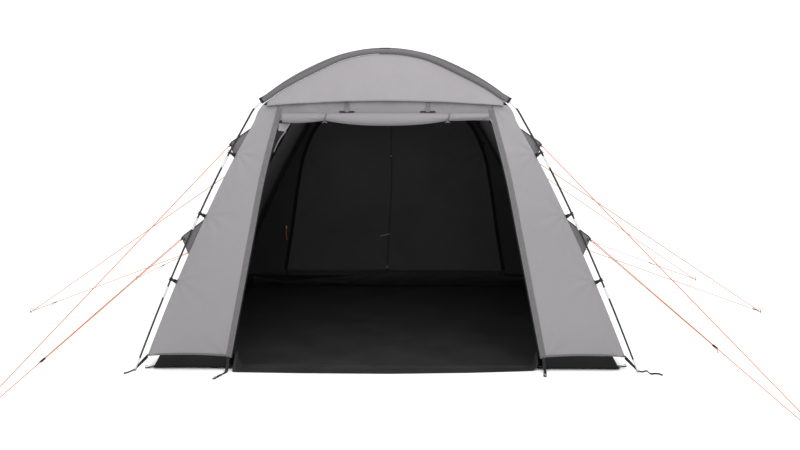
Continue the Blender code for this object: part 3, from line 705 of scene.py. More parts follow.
def bowed(line, count=24):
    """A smooth curve through a few points in space."""
    line = np.array(line, float)
    there = run_lengths(line)
    slope = np.gradient(line, there, axis=0)
    runs = []
    for i in range(len(line) - 1):
        length = there[i + 1] - there[i]
        s = np.linspace(0, 1, max(int(count * length / there[-1]), 3), endpoint=False)[:, None]
        runs.append(line[i] * (2 * s ** 3 - 3 * s ** 2 + 1) + line[i + 1] * (3 * s ** 2 - 2 * s ** 3)
                    + slope[i] * length * (s ** 3 - 2 * s ** 2 + s) + slope[i + 1] * length * (s ** 3 - s ** 2))
    return np.vstack(runs + [line[-1:]])


def joined(name, parts, nodes=()):
    """One piece from (mesh, material) pairs."""
    keys = list(dict.fromkeys(key for _, key in parts))
    bm = bmesh.new()
    for mesh, key in parts:
        before = len(bm.faces)
        bm.from_mesh(mesh)
        bm.faces.ensure_lookup_table()
        for face in bm.faces[before:]:
            face.material_index = keys.index(key)
        bpy.data.meshes.remove(mesh)
    whole = bpy.data.meshes.new(name)
    bm.to_mesh(whole)
    bm.free()
    return fitted(link(name, whole, keys), nodes)


# Roof and walls

def bay_points(start, end, seed):
    """One bay's cloth, hem to hem over the roof: it dips between the hoops, and folds spread from the clips."""
    line = resample(both_sides(cut(SKIN_OUT, 3.0, HEM_HEIGHT)), 210)
    share = np.linspace(0, 1, 64)[:, None]
    points = grid_of(line[:, 0], start + (end - start) * share, line[:, 1])
    held = np.clip((points[..., 2] - HEM_HEIGHT) / HELD_HEIGHT, 0.0, 1.0)
    free = edge_fade(share)
    amount = -ROOF_SAG * (4 * share * (1 - share)) * held
    relief = 0.0030 * creases(points, 1.6, seed) + 0.0010 * soft_noise(points, 7.0, seed + 1)
    amount = amount + free * relief
    for hoop_y in (start, end):
        for side in SIDES.values():
            for number, height in enumerate(CLIP_HEIGHTS + (SLEEVE_END, HEM_HEIGHT)):
                anchor = spot((across_at(SKIN, height), height), hoop_y, side)
                amount = amount + free * fold_fan(points, anchor, 9, 0.14, 0.0030, (1, 2), number + side)
    return pushed(points, amount)


def roof_and_walls():
    inset = FABRIC / 2 + GAP
    bays = {"front": (inset, BAY - BAY_GAP), "rear": (BAY + BAY_GAP, 2 * BAY - inset)}
    for seed, (bay, (start, end)) in enumerate(bays.items()):
        points = bay_points(start, end, seed + 1)
        nodes = [f"roof_{bay}_bay"] + [f"{side}_wall_{bay}_bay" for side in SIDES]
        # The linings carry painted light from the doorway: the front bay's is lighter all over, the rear bay's
        # towards its front.
        cloth(f"{bay}_bay_cloth", points, inner=f"{bay}_lining", nodes=nodes)
        trim_bay(bay, points)


def trim_bay(bay, points):
    """Seams along the roof's edges and hems along the walls' feet."""
    wall = cut(SKIN_OUT, ROOF_EDGE, HEM_HEIGHT)
    edge = run_lengths(wall)[-1]
    seams = []
    hems = []
    for name, from_end in (("left", False), ("right", True)):
        seams.append((strip_mesh(f"{name}_seam", points, edge, SEAM_WIDTH, from_end), "seam"))
        hems.append((strip_mesh(f"{name}_hem", points, HEM_WIDTH / 2, HEM_WIDTH, from_end), "hem"))
    joined(f"{bay}_bay_roof_seams", seams)
    joined(f"{bay}_bay_hems", hems)


def hoop_seams():
    """Tapes over the seams down the legs, where the clips are sewn on."""
    for hoop_name, y in HOOPS.items():
        shift = {"front": 0.009, "middle": 0.0, "rear": -0.009}[hoop_name]
        parts = []
        for side_name, side in SIDES.items():
            line = resample(inward(cut(SKIN_OUT, SLEEVE_END, HEM_HEIGHT), -0.0006), 70)
            line = np.array([spot(point, y + shift, side) for point in line])
            parts.append((ribbon_mesh(f"{side_name}_{hoop_name}_seam", line, (0, 1, 0), 0.018, TAPE), "seam"))
        joined(f"{hoop_name}_leg_seams", parts)


# Front

def front_gable():
    """The cloth over the doorway, from the sleeve down to a hem that hangs a little proud."""
    across = np.linspace(-EAVE_HALF_WIDTH, EAVE_HALF_WIDTH, 150)
    share = np.linspace(0, 1, 30)[:, None]
    low = eave_height(across)
    top_line = cut(SKIN_OUT, 3.0, 1.70)
    high = np.interp(np.abs(across), top_line[:, 0], top_line[:, 1])
    points = grid_of(across, -EAVE_OVERHANG * (1 - share) ** 1.5 - 0.001, low + (high - low) * share)
    hanging = (1 - share) ** 2
    waves = 0.0035 * np.sin(across * 19.0 + 0.8) + 0.002 * np.sin(across * 43.0)
    ends = edge_fade((across / EAVE_HALF_WIDTH + 1) / 2, 0.08)
    amount = hanging * waves * ends + 0.0016 * creases(points, 2.2, 5) * ends * edge_fade(share, 0.2)
    points = pushed(facing(points, (0, -1, 0)), amount)
    cloth("front_gable_cloth", points, nodes=["front_gable"])
    edge = points[0] + np.array([0.0, -0.0008, 0.003])
    # The hem's binding is painted darker: a real hem, with painted shadow for the line under it.
    hem = ribbon_mesh("gable_hem", edge, (0, 0, 1), 0.005, TAPE)
    joined("front_gable_hem", [(hem, "binding")])


def panel_points(side):
    """A front panel between the door's edge and the wall's seam, above its arched hem."""
    out = np.linspace(0, 1, 70)
    up = np.linspace(0, 1, 150)[:, None]
    hem_inner, hem_outer = float(across_at(DOOR_EDGE, HEM_HEIGHT)), float(across_at(SKIN_OUT, HEM_HEIGHT))
    bottom = hem_height(hem_inner + (hem_outer - hem_inner) * out)
    heights = bottom + (PANEL_TOP - bottom) * up
    inner, outer = across_at(DOOR_EDGE, heights), across_at(SKIN_OUT, heights)
    points = grid_of(inner + (outer - inner) * out, -0.0008, heights)
    free = edge_fade(out, 0.2) * edge_fade(up, 0.06)
    hollow = -0.005 * np.sin(math.pi * out) * np.sin(math.pi * up)
    amount = free * (hollow + 0.0035 * creases(points, 1.5, 8 + side))
    amount = amount + free * 0.0008 * soft_noise(points, 8.0, 9)
    anchors = [(float(across_at(SKIN, height)), height) for height in CLIP_HEIGHTS]
    anchors += [(hem_outer, HEM_HEIGHT), (hem_inner, HEM_HEIGHT), (0.70, 1.74)]
    for number, (x, z) in enumerate(anchors):
        folds = fold_fan(points, (x, 0.0, z), 8, 0.16, 0.0034, (0, 2), 1.3 * number)
        amount = amount + folds * edge_fade(out, 0.05)
    return points, amount


def front_panels():
    for side_name, side in SIDES.items():
        points, amount = panel_points(side)
        points = points * (side, 1.0, 1.0)
        if side < 0:
            points, amount = points[:, ::-1], amount[:, ::-1]
        points = pushed(points, amount)
        cloth(f"{side_name}_front_panel_cloth", points, nodes=[f"{side_name}_front_panel"])
        panel_hem(side_name, points)


def panel_hem(side_name, points):
    """The binding along the panel's arched foot."""
    foot = points[0] + (0.0, -0.0013, FRONT_HEM_WIDTH / 2)
    along = np.gradient(foot, axis=0)
    side = np.stack([-along[:, 2], np.zeros(len(foot)), along[:, 0]], axis=1)
    parts = [(ribbon_mesh("hem", foot, side, FRONT_HEM_WIDTH, TAPE), "hem")]
    joined(f"{side_name}_front_panel_hem", parts)


def door_edges():
    """A dark tape down each side of the doorway, sewn down at its top, with the zip along its inner edge."""
    for side_name, side in SIDES.items():
        line = resample(cut(DOOR_EDGE, TAPE_TOP, HEM_HEIGHT - 0.006), 110)
        centre = in_space(inward(line, TAPE_WIDTH / 2), -0.0024, side)
        ways = inward_ways(line, side)
        patch = np.array([centre[0], centre[0] * 0.5 + centre[1] * 0.5, centre[1]]) - (0.0, 0.0014, 0.0)
        parts = [(ribbon_mesh("tape", centre, ways, TAPE_WIDTH, 0.0018), "tape"),
                 (ribbon_mesh("patch", patch, ways[:3], TAPE_WIDTH, 0.0008), "gusset")]
        joined(f"{side_name}_door_tape_strip", parts, [f"{side_name}_door_tape"])
        parts = zip_parts(inward(cut(DOOR_EDGE, 1.66, HEM_HEIGHT), TAPE_WIDTH + 0.003), 0.0, side)
        joined(f"{side_name}_door_zip", parts)


def zip_parts(line, y, side):
    """A coil zip: its narrow tape, and a ridge of coils along it."""
    line = resample(line, 120)
    path = in_space(line, y, side)
    coils = resample(path, 700)
    ripple = coils + np.array([0.0, -0.0008, 0.0]) * np.cos(np.arange(len(coils)) * math.pi)[:, None]
    return [(ribbon_mesh("zip_tape", path, inward_ways(line, side), 0.010, TAPE), "zip"),
            (tube_mesh("coils", ripple, 0.0016, 6), "plastic")]


def front_lintel():
    """The strip above the door, between the two tapes and behind the gable's hem. Its cloth is painted darker:
    painted shade from the gable's overhang.
    """
    share = np.linspace(0, 1, 110)
    up = np.linspace(0, 1, 24)[:, None]
    across = (across_at(DOOR_EDGE, 1.70) - GAP) * (2 * share - 1)
    high = eave_height(across) + 0.005
    heights = DOOR_TOP + (high - DOOR_TOP) * up
    reach = (across_at(DOOR_EDGE, heights) - GAP) * (2 * share - 1)
    points = grid_of(reach, -0.0006, heights)
    amount = edge_fade(share, 0.08) * (0.0014 * creases(points, (2.0, 1.0, 1.0), 12))
    for tie in ROLL_TIES:
        amount = amount + fold_fan(points, (tie, 0.0, 1.70), 6, 0.12, 0.002)
    cloth("front_lintel_cloth", pushed(facing(points, (0, -1, 0)), amount), "lintel",
          nodes=["front_lintel"])


# Rolled door

ROLL_TURNS = 7
ROLL_STEPS = 26             # points round each turn
ROLL_CLOTH = 0.0013
ROLL_CORE = 0.2             # radius of the innermost turn, as a share of the outermost one
ROLL_ENDS = (-0.655, 0.660)
ROLL_TOP = 1.6995
ROLL_BACK = -0.003          # the roll lies against the lintel here
TIE_FOLDS = ((0.10, 0.05), (0.05, 0.07))    # how deep the folds are to the left and right of each tie


def roll_bottom(across):
    """The roll's lower outline: it hangs between the ties and beyond them."""
    left, right = ROLL_TIES
    between = 1.618 + 0.034 * np.abs((across - 0.008) / 0.392) ** 2.3
    outside_left = 1.652 - 0.017 * np.sin(np.clip((left - across) / 0.265, 0, 1) * math.pi * 0.62)
    outside_right = 1.651 + 0.012 * np.clip((across - right) / 0.26, 0, 1) ** 3
    return np.where(across < left, outside_left, np.where(across > right, outside_right, between))


def roll_section(across):
    """Middle height and the two radii of the roll at each place."""
    pinch = sum(np.exp(-((across - tie) / 0.05) ** 2) for tie in ROLL_TIES)
    top = ROLL_TOP - 0.004 * pinch
    bottom = roll_bottom(across)
    deep = 0.0365 - 0.008 * pinch
    ends = 1 - 0.10 * (np.abs(across) / ROLL_HALF_LENGTH) ** 10
    return (top + bottom) / 2, (top - bottom) / 2 * ends, deep * ends


def tie_folds(across, height):
    """Folds that run from each tie's knot along the roll."""
    total = 0.0
    for tie, (left, right) in zip(ROLL_TIES, TIE_FOLDS):
        away = across - tie
        rise = np.maximum(height - float(roll_bottom(np.array(tie))), 0.0)
        spread = np.arctan2(rise, np.abs(away) + 0.012)
        reach = np.exp(-(np.abs(away) / 0.16) ** 1.5)
        total = total + np.where(away < 0, left, right) * reach * np.cos(17 * spread ** 0.8 + 1.1)
    return total


def roll_points():
    """The door's cloth, wound from its foot at the core to its seam on the lintel."""
    across = np.linspace(*ROLL_ENDS, 150)
    middle, tall, deep = roll_section(across)
    turns = np.linspace(0, 1, ROLL_TURNS * ROLL_STEPS)[:, None]
    leaves = math.radians(92)
    angle = leaves + (1 - turns) * ROLL_TURNS * 2 * math.pi
    grow = ROLL_CORE + (1 - ROLL_CORE) * turns
    lay = grid_of(across * 4, np.cos(angle) * 1.3, np.sin(angle) * 1.3)
    slack = 0.035 * soft_noise(lay, 1.0, 21) + 0.012 * soft_noise(lay, 3.0, 22)
    fold = tie_folds(across[None], middle + tall * np.sin(angle))
    away_from_lintel = np.clip(0.6 - 1.5 * np.cos(angle), 0.0, 1.0)
    radius = grow * (1 + (fold + slack) * away_from_lintel)
    y = ROLL_BACK - deep + deep * radius * np.cos(angle)
    return grid_of(across, y, middle + tall * radius * np.sin(angle)), across


def rolled_door():
    points, across = roll_points()
    seam = grid_of(across, ROLL_BACK + 0.0005, ROLL_TOP + 0.001)
    share = np.linspace(0, 1, 7)[1:, None, None]
    tail = points[-1][None] * (1 - share) + seam[None] * share
    points = np.concatenate([points, tail])
    middle = points.shape[1] // 2
    last_turn = len(points) - len(tail) - ROLL_STEPS
    foremost = last_turn + int(np.argmin(points[last_turn:, middle, 1]))
    if normals_of(points)[foremost, middle, 1] > 0:
        points = points[:, ::-1]
    # The roll's cloth is painted darker: painted shade from the gable's overhang.
    cloth("rolled_door_cloth", points, "roll", nodes=["rolled_door"], thickness=ROLL_CLOTH)


def door_ties():
    """A flat tie over the roll's front at each place where it is drawn in, knotted under it."""
    for side_name, tie in zip(SIDES, ROLL_TIES):
        middle, tall, deep = (value[0] for value in roll_section(np.array([tie])))
        turn = np.radians(np.linspace(80, 262, 40))
        y = ROLL_BACK - deep + (deep + 0.002) * np.cos(turn)
        front = grid_of(tie + 0.012 * (1 + np.sin(turn)) / 2, y, middle + (tall + 0.002) * np.sin(turn))
        low = np.array([tie, ROLL_BACK - deep - 0.004, middle - tall - 0.004])
        tails = [bowed([low, low + (0.006 * way, -0.006, -0.003), low + (0.014 * way, -0.008, -0.009)], 12)
                 for way in (-1, 1)]
        knot_look = {"left": "trim", "right": "seam"}[side_name]
        parts = [(ribbon_mesh("front", front, (1, 0, 0), 0.009, 0.0012), "trim"),
                 (knot_mesh("knot", low, 0.0060, 0.0026, (0, 1, 0)), knot_look)]
        parts += [(rounded_tube("tail", tail, 0.0018, 8, 3), "seam") for tail in tails]
        joined(f"{side_name}_door_tie", parts)


def door_corners():
    """What the roll leaves of the door beside it: a flap and an edge on the left, an edge on the right."""
    corner_points = np.array([[(-0.689, 1.589), (-0.643, 1.583)], [(-0.686, 1.636), (-0.606, 1.636)]])
    share = np.linspace(0, 1, 12)
    low, high = (row[0] * (1 - share[:, None]) + row[1] * share[:, None] for row in corner_points)
    flat = low[None] * (1 - share[:, None, None]) + high[None] * share[:, None, None]
    points = grid_of(flat[..., 0], -0.0010, flat[..., 1])
    points[..., 1] -= 0.006 * np.outer(share, share) + 0.001 * np.sin(9 * share)[None]
    cloth("left_door_corner_flap", facing(points, (0, -1, 0)), thickness=0.0012)
    left = bowed([(-0.640, -0.0012, 1.586), (-0.670, -0.0008, 1.548), (-0.694, -0.0008, 1.508),
                  (-0.719, -0.0008, 1.452)], 30)
    right = bowed([(0.668, -0.0050, 1.668), (0.684, -0.0030, 1.648), (0.696, -0.0012, 1.622)], 20)
    taper = np.linspace(0.010, 0.005, len(left))[:, None]
    parts = [(ribbon_mesh("left", left, (0.85, 0, -0.5), taper, 0.0012), "tape"),
             (ribbon_mesh("right", right, (0.85, 0, 0.5), 0.006, 0.0012), "seam")]
    joined("door_corner_edges", parts)


def door_toggles():
    """Straps from under the gable's hem, each with a black cross bar in its loop."""
    height, reach = 1.7090, 0.0450
    for side_name, across in TOGGLE_PLACES.items():
        top = float(eave_height(across)) + 0.004
        line = bowed([(across, -0.0052, top), (across, -0.0060, 1.735), (across, -0.0110, height + 0.002)], 24)
        loop = bowed([(across, -0.0110, height + 0.003), (across, -0.0195, height - 0.003),
                      (across, -0.0175, height + 0.008), (across, -0.0080, height + 0.018)], 20)
        bar = [(across + reach * way, -0.0150, height + 0.0004 * abs(way)) for way in (-1, 0, 1)]
        parts = [(ribbon_mesh("strap", line, (1, 0, 0), 0.028, 0.0014), "tape"),
                 (ribbon_mesh("fold", loop, (1, 0, 0), 0.026, 0.0012), "tape"),
                 (rounded_tube("bar", bar, 0.0045, 12), "zip")]
        joined(f"{side_name}_toggle", parts, [f"{side_name}_door_toggle"])


# Back

def door_arch(count):
    """The back door's right-hand outline, from the middle of its top to the sill."""
    bend = smooth(((0.30, 1.870),) + BACK_ZIP_STATIONS, 12)
    return resample(np.vstack([[(0.0, BACK_DOOR_TOP), (0.150, 1.878)], bend]), count)


def back_band(name, inner, outer, nodes=()):
    """A stretch of the rear wall between the doorway's edge and the wall's own edge."""
    share = np.linspace(0, 1, 22)[:, None, None]
    flat = inner[None] * (1 - share) + outer[None] * share
    points = facing(grid_of(flat[..., 0], 2 * BAY + 0.0008, flat[..., 1]), (0, 1, 0))
    relief = edge_fade(share[..., 0], 0.25) * 0.004 * creases(points, 1.5, 31)
    cloth(name, points + np.array([0.0, 1.0, 0.0]) * relief[..., None], nodes=nodes)


def back_wall():
    """The rear wall round its doorway: two side panels, one over the top and a strip under the sill."""
    door = door_arch(200) + (0.0006, 0.0006)
    foot = np.array([door[-1, 0], HEM_HEIGHT])
    arch = both_sides(resample(np.vstack([door, [foot]]), 80))
    edge = both_sides(resample(cut(SKIN_OUT, 3.0, HEM_HEIGHT), 80))
    shoulder = 45
    side = len(arch) - shoulder
    back_band("back_wall_left_panel", arch[:shoulder], edge[:shoulder], ["back_wall"])
    back_band("back_wall_top_panel", arch[shoulder - 1:side + 1], edge[shoulder - 1:side + 1])
    back_band("back_wall_right_panel", arch[side:], edge[side:])
    sill = np.linspace(-foot, foot, 42) * (1.0, 0.0)
    back_band("back_wall_sill", sill + (0.0, BACK_DOOR_SILL - GAP), sill + (0.0, HEM_HEIGHT))
    across = np.linspace(-CORNER + 0.01, CORNER - 0.01, 60)
    hem = grid_of(across, 2 * BAY + 0.0026, HEM_HEIGHT + HEM_WIDTH / 2)
    joined("back_wall_hem", [(ribbon_mesh("hem", hem, (0, 0, 1), HEM_WIDTH, TAPE), "hem")])


def leaf_points(side):
    """Half of the back door: it hangs from its arch, laps over the sill, and folds spread from the zips."""
    arch = door_arch(200)
    over, up = np.linspace(0, 1, 60), np.linspace(0, 1, 110)[:, None]
    shoulder, lap = 1.80, 0.010
    heights = BACK_DOOR_SILL + (shoulder - BACK_DOOR_SILL) * up
    reach = across_at(arch, heights)
    top = np.interp(over * reach[-1], arch[:, 0], arch[:, 1])
    foot = BACK_DOOR_SILL - lap
    height = foot + (top - foot) * up
    y = 2 * BAY - 0.0010 - 0.0018 * np.exp(-((height - foot) / 0.02) ** 2)
    return grid_of(side * (GAP + (reach - GAP) * over), y, height), over, up


def back_door():
    for side_name, side in SIDES.items():
        points, over, up = leaf_points(side)
        free = edge_fade(over, 0.1) * edge_fade(up, 0.05)
        relief = 0.006 * creases(points, (1.2, 1.0, 0.7), 40 + side) + 0.0015 * soft_noise(points, 6.0, 41)
        amount = free * relief
        for anchor in ((0.0, 0.16), (0.0, 1.88), (1.12, 0.16), (0.90, 1.37)):
            folds = fold_fan(points, (side * anchor[0], 2 * BAY, anchor[1]), 7, 0.35, 0.005, turn=side)
            amount = amount + folds * edge_fade(over, 0.03)
        if side < 0:
            points, amount = points[:, ::-1], amount[:, ::-1]
        points = pushed(points, amount)
        cloth(f"back_door_{side_name}_leaf_cloth", points, "leaf", "lining",
              nodes=[f"back_door_{side_name}_leaf"])
    back_door_zips()


def back_door_zips():
    """Covered zips round the leaves, and one down the middle on a wide flap, with pale pulls."""
    front = 2 * BAY - FABRIC / 2 - 0.003
    parts = []
    for side in SIDES.values():
        line = resample(door_arch(160), 120)
        zip_tape = ribbon_mesh("side_zip", in_space(line, front, side), inward_ways(line, side), 0.034, 0.0022)
        parts.append((zip_tape, "zip"))
    heights = np.linspace(BACK_DOOR_SILL, 1.87, 80)
    bends = ((0.16, 0.62, 0.98, 1.29, 1.33, 1.87), (-0.073, -0.051, -0.028, -0.025, -0.032, -0.020))
    sway = np.interp(heights, *bends)
    zip_line = grid_of(sway, front - 0.0016, heights)
    lap = 0.012
    flap = (zip_line + (lap, 0.0, 0.0)) * (0.5, 1.0, 1.0) + (0.0, 0.0026, 0.0)
    parts.append((ribbon_mesh("middle_flap", flap, (1, 0, 0), 2 * lap - sway[:, None], 0.0012), "leaf"))
    parts.append((ribbon_mesh("middle_zip", zip_line, (1, 0, 0), 0.015, 0.0016), "door_zip"))
    joined("back_door_zip_covers", parts)
    pulls = [zip_pull("pull_top", (-0.032, front - 0.006, 1.328), 0.010, 10),
             zip_pull("pull_low", (-0.073, front - 0.006, 0.190), 0.030, 20),
             zip_pull("pull_middle", (-0.095, front - 0.006, 0.5215), 0.105, 76)]
    joined("back_door_zip_pulls", [(mesh, "pale_plastic") for mesh in pulls])


def zip_pull(name, centre, length, tilt):
    """A pale cord pull, turned from hanging by an angle in degrees."""
    way = np.array([math.sin(math.radians(tilt)), 0.0, math.cos(math.radians(tilt))])
    centre = np.array(centre)
    line = [centre - way * length / 2, centre, centre + way * length / 2]
    return rounded_tube(name, line, 0.0028, 10, 4)


def back_corner_seams():
    """Black seam allowances inside, where the back wall meets the bays."""
    parts = []
    for side in SIDES.values():
        line = resample(inward(cut(SKIN, 1.95, HEM_HEIGHT), 0.010), 110)
        path = in_space(line, 2 * BAY - 0.012, side)
        parts.append((ribbon_mesh("allowance", path, inward_ways(line, side), 0.018, 0.0015), "lining"))
    joined("back_corner_seams", parts)


def inner_hoop_seam():
    """The middle hoop's seam allowance, a black flange under the roof and down the walls."""
    half = cut(SKIN, 3.0, HEM_HEIGHT)
    line = resample(both_sides(inward(half, 0.012)), 200)
    outer = resample(both_sides(half), 200)
    path = np.array([spot(point, BAY) for point in line])
    width = np.array([spot(way, 0.0) for way in outer - line])
    joined("middle_inner_seam", [(ribbon_mesh("flange", path, width, 0.018, 0.0016), "zip")])


# Tunnel towards the vehicle

def tunnel():
    half = smooth(TUNNEL_STATIONS, 20, flat_start=True)
    line = resample(both_sides(half), 170)
    start = 2 * BAY + FABRIC / 2 + 0.0005
    share = np.linspace(0, 1, 26)[:, None]
    y = start + (TUNNEL_DEPTH - 0.001) * share
    points = grid_of(line[:, 0], y, np.maximum(line[:, 1] + 0.0015, 0.003))
    free = edge_fade(share, 0.15) * edge_fade(np.linspace(0, 1, 170), 0.01)
    sag = -0.008 * np.sin(math.pi * share)
    ripples = 0.0035 * creases(points, (2.6, 1.0, 2.6), 51) + 0.0015 * soft_noise(points, 9.0, 52)
    points = pushed(facing(points, (0, 0, 1)), free * (sag + ripples))
    cloth("vehicle_tunnel_cloth", points, nodes=["vehicle_tunnel"])
    tunnel_trim(points, half)


def tunnel_trim(points, half):
    y = 2 * BAY + FABRIC / 2 + GAP + TUNNEL_DEPTH + GAP + BEADING_RADIUS
    top = both_sides(half[half[:, 0] < BEADING_HALF_WIDTH])
    bead = np.array([spot(point, y) for point in resample(top, 120)])
    flap = bead + (0.0, -0.012, 0.0)
    joined("tunnel_beading_cord", [(rounded_tube("bead", bead, BEADING_RADIUS, 14), "webbing")],
           ["tunnel_beading"])
    joined("tunnel_beading_tape", [(ribbon_mesh("tape", flap, (0, 1, 0), 0.022, TAPE),
                                    "webbing")])
    across = np.swapaxes(points, 0, 1)
    hem = strip_mesh("hem", across, 0.010, 0.018, from_end=True, lift=-0.0008)
    joined("tunnel_rear_hem", [(hem, "seam")])


# Floor and skirts

def sheet_outline_half(y):
    """How far the groundsheet reaches to each side at a distance from the front."""
    door_half = DOOR_STATIONS[-1][0] - TONGUE_INSET
    back = SHEET_BACK - SHEET_CORNER
    wide = np.where(y < SKIRT_TUCK + SHEET_STEP, door_half, SHEET_HALF_WIDTH)
    return np.where(y > back, SHEET_HALF_WIDTH - (y - back), wide)


def groundsheet():
    """The floor, with shallow creases, and its tongue out under the doorway with turned-up sides."""
    step = SKIRT_TUCK + SHEET_STEP
    front_edge = ((-1.015, -0.563, 0.031, 0.558, 0.892, 1.015), (-0.033, -0.051, -0.060, -0.031, 0.006, 0.024))
    along = np.concatenate([np.linspace(SHEET_FRONT, step - 0.0005, 26),
                            np.linspace(step, SHEET_BACK - SHEET_CORNER, 130), [SHEET_BACK]])
    share = np.linspace(-1, 1, 120)
    points = grid_of(sheet_outline_half(along)[:, None] * share, along[:, None], 0.0024)
    x, y = points[..., 0], points[..., 1]
    wrinkles = 0.0022 * np.abs(creases(points, (0.7, 2.4, 1.0), 61))
    wrinkles = wrinkles + 0.0012 * np.abs(soft_noise(points, 3.5, 62))
    fold = 0.0060 * np.exp(-((y - 0.081 - 0.004 * np.sin(x * 3)) / 0.006) ** 2)
    fold = fold + 0.0060 * np.exp(-((y - 0.128 - 0.003 * np.sin(x * 2 + 1)) / 0.006) ** 2)
    behind = 0.0120 * np.exp(-((y - 2.94 - 0.020 * np.sin(x * 4)) / 0.020) ** 2)
    fold = fold + behind * np.exp(-((x - 0.1) / 0.7) ** 4)
    ends = edge_fade((share + 1) / 2, 0.04) * edge_fade(np.linspace(0, 1, len(along)), 0.03)[:, None]
    points[..., 2] += (wrinkles + fold) * ends
    tongue = np.clip((step - along) / (step - SHEET_FRONT), 0.0, 1.0)[:, None]
    points[..., 1] += (np.interp(points[..., 0], *front_edge) - SHEET_FRONT) * tongue
    lip = np.interp(points[..., 1], (-0.03, 0.0, 0.10), (0.004, 0.030, 0.105)) * (tongue > 0)
    points[..., 2] += lip * np.clip((np.abs(points[..., 0]) - 0.985) / 0.028, 0.0, 1.0)
    cloth("groundsheet_cloth", facing(points, (0, 0, 1)), "sheet", "sheet",
          nodes=["groundsheet"], thickness=SHEET_CLOTH)


def rounded_path(corner_points, radius, count):
    """A path in plan through its corners, each with a round bend."""
    path = [np.array(corner_points[0], float)]
    for before, corner, after in zip(corner_points, corner_points[1:], corner_points[2:]):
        corner = np.array(corner, float)
        enter = corner + (np.array(before) - corner) / np.linalg.norm(np.array(before) - corner) * radius
        leave = corner + (np.array(after) - corner) / np.linalg.norm(np.array(after) - corner) * radius
        s = np.linspace(0, 1, 8)[:, None]
        path.extend(enter * (1 - s) ** 2 + corner * 2 * s * (1 - s) + leave * s ** 2)
    path.append(np.array(corner_points[-1], float))
    return resample(np.array(path), count)


def mud_wall():
    """The groundsheet's turned-up sides and back: slack between the loops that hold its top edge."""
    beside = SHEET_HALF_WIDTH + GAP + FABRIC / 2
    behind = SHEET_BACK + GAP + FABRIC / 2
    front = SKIRT_TUCK + MUD_WALL_FRONT
    turns = [(-beside, front), (-beside, behind), (beside, behind), (beside, front)]
    path = rounded_path(turns, SHEET_CORNER, 330)
    there = run_lengths(path)
    up = np.linspace(0, 1, 14)[:, None]
    hung = 0.010 * np.abs(np.sin(there / 0.75 * math.pi)) ** 0.6
    places = (-1.46, -1.126, -0.503, -0.128, -0.079, 0.035, 0.752, 1.273, 1.46)
    behind_top = np.interp(path[:, 0], places, (0.110, 0.050, 0.105, 0.149, 0.156, 0.149, 0.146, 0.105, 0.110))
    height = np.where(path[:, 1] > SHEET_BACK - 0.01, behind_top, MUD_WALL_HEIGHT - 0.004 - hung)
    points = grid_of(path[:, 0], path[:, 1], 0.0005 + height * up)
    inside = -np.stack([path[:, 0] / beside, (path[:, 1] > SHEET_BACK - 0.1) * 1.0, 0 * there], axis=1)
    wrinkle = 0.026 * soft_noise(points, (3.0, 3.0, 12.0), 71) + 0.016 * creases(points, (5.0, 5.0, 18.0), 72)
    lean = 0.016 * np.sin(up * math.pi * 0.55) + 0.5 * np.abs(wrinkle) * np.sin(up * math.pi * 0.9)
    limit = edge_fade(there / there[-1], 0.01)
    points = points + inside * (lean * limit)[..., None]
    cloth("mud_wall_cloth", points, "mud", "mud", nodes=["mud_wall"],
          thickness=SHEET_CLOTH)


def skirt_profile(top):
    """Inward distance and height down a skirt, from the hem to its end on the ground."""
    lie = 0.0022
    bends = [(0.0, top), (0.0, top - SKIRT_DROP), (SKIRT_TUCK - SKIRT_FLAT, lie), (SKIRT_TUCK, lie)]
    soft = bowed(bends, 40)
    soft[:, 1] = np.maximum(soft[:, 1], lie)
    return resample(soft, SKIRT_ROWS)


def front_skirt(side_name, side):
    """Black flap under the panel's hem. It spreads outwards on the ground."""
    start = DOOR_STATIONS[-1][0] + FABRIC
    across = np.linspace(start, SKIRT_TOP_END, 60)
    points = np.empty((SKIRT_ROWS, len(across), 3))
    down = np.clip(np.linspace(0, 1, SKIRT_ROWS) * 1.6, 0, 1)
    inner = start - 0.044 * down
    outer = SKIRT_TOP_END + (SKIRT_FOOT_END - SKIRT_TOP_END) * down
    for column, x in enumerate(across):
        profile = skirt_profile(float(hem_height(x)) + 0.002)
        points[:, column, 0] = side * (inner + (outer - inner) * (x - start) / (SKIRT_TOP_END - start))
        points[:, column, 1] = profile[:, 0] + 0.0004
        points[:, column, 2] = profile[:, 1]
    hang = np.sin(np.linspace(0, math.pi, SKIRT_ROWS))[:, None]
    waves = hang * edge_fade(np.linspace(0, 1, 60), 0.08) * (0.004 * soft_noise(points, 4.0, 81 + side))
    points = facing(points, (0, -1, 1))
    points = pushed(points, waves if side > 0 else waves[:, ::-1])
    points[..., 2] = np.maximum(points[..., 2], SKIRT_LOWEST)
    cloth(f"{side_name}_front_skirt_cloth", points, "flap", "flap",
          nodes=[f"{side_name}_front_skirt"])


def side_skirt(side_name, side):
    profile = skirt_profile(HEM_HEIGHT + 0.0005)
    down = np.clip(profile[:, 0] / 0.02, 0, 1)[:, None]
    share = np.linspace(0, 1, 110)
    end = 2 * BAY - FABRIC - SIDE_SKIRT_BACK * down
    y = SIDE_SKIRT_FRONT + (end - SIDE_SKIRT_FRONT) * share
    points = grid_of(side * (CORNER - profile[:, :1]), y, profile[:, 1:])
    hang = np.sin(np.linspace(0, math.pi, SKIRT_ROWS))[:, None]
    points = facing(points, (side, 0, 1))
    points = pushed(points, hang * edge_fade(share, 0.03) * 0.004 * soft_noise(points, 4.0, 85))
    points[..., 2] = np.maximum(points[..., 2], SKIRT_LOWEST)
    cloth(f"{side_name}_side_skirt_cloth", points, "flap", "flap",
          nodes=[f"{side_name}_side_skirt"])


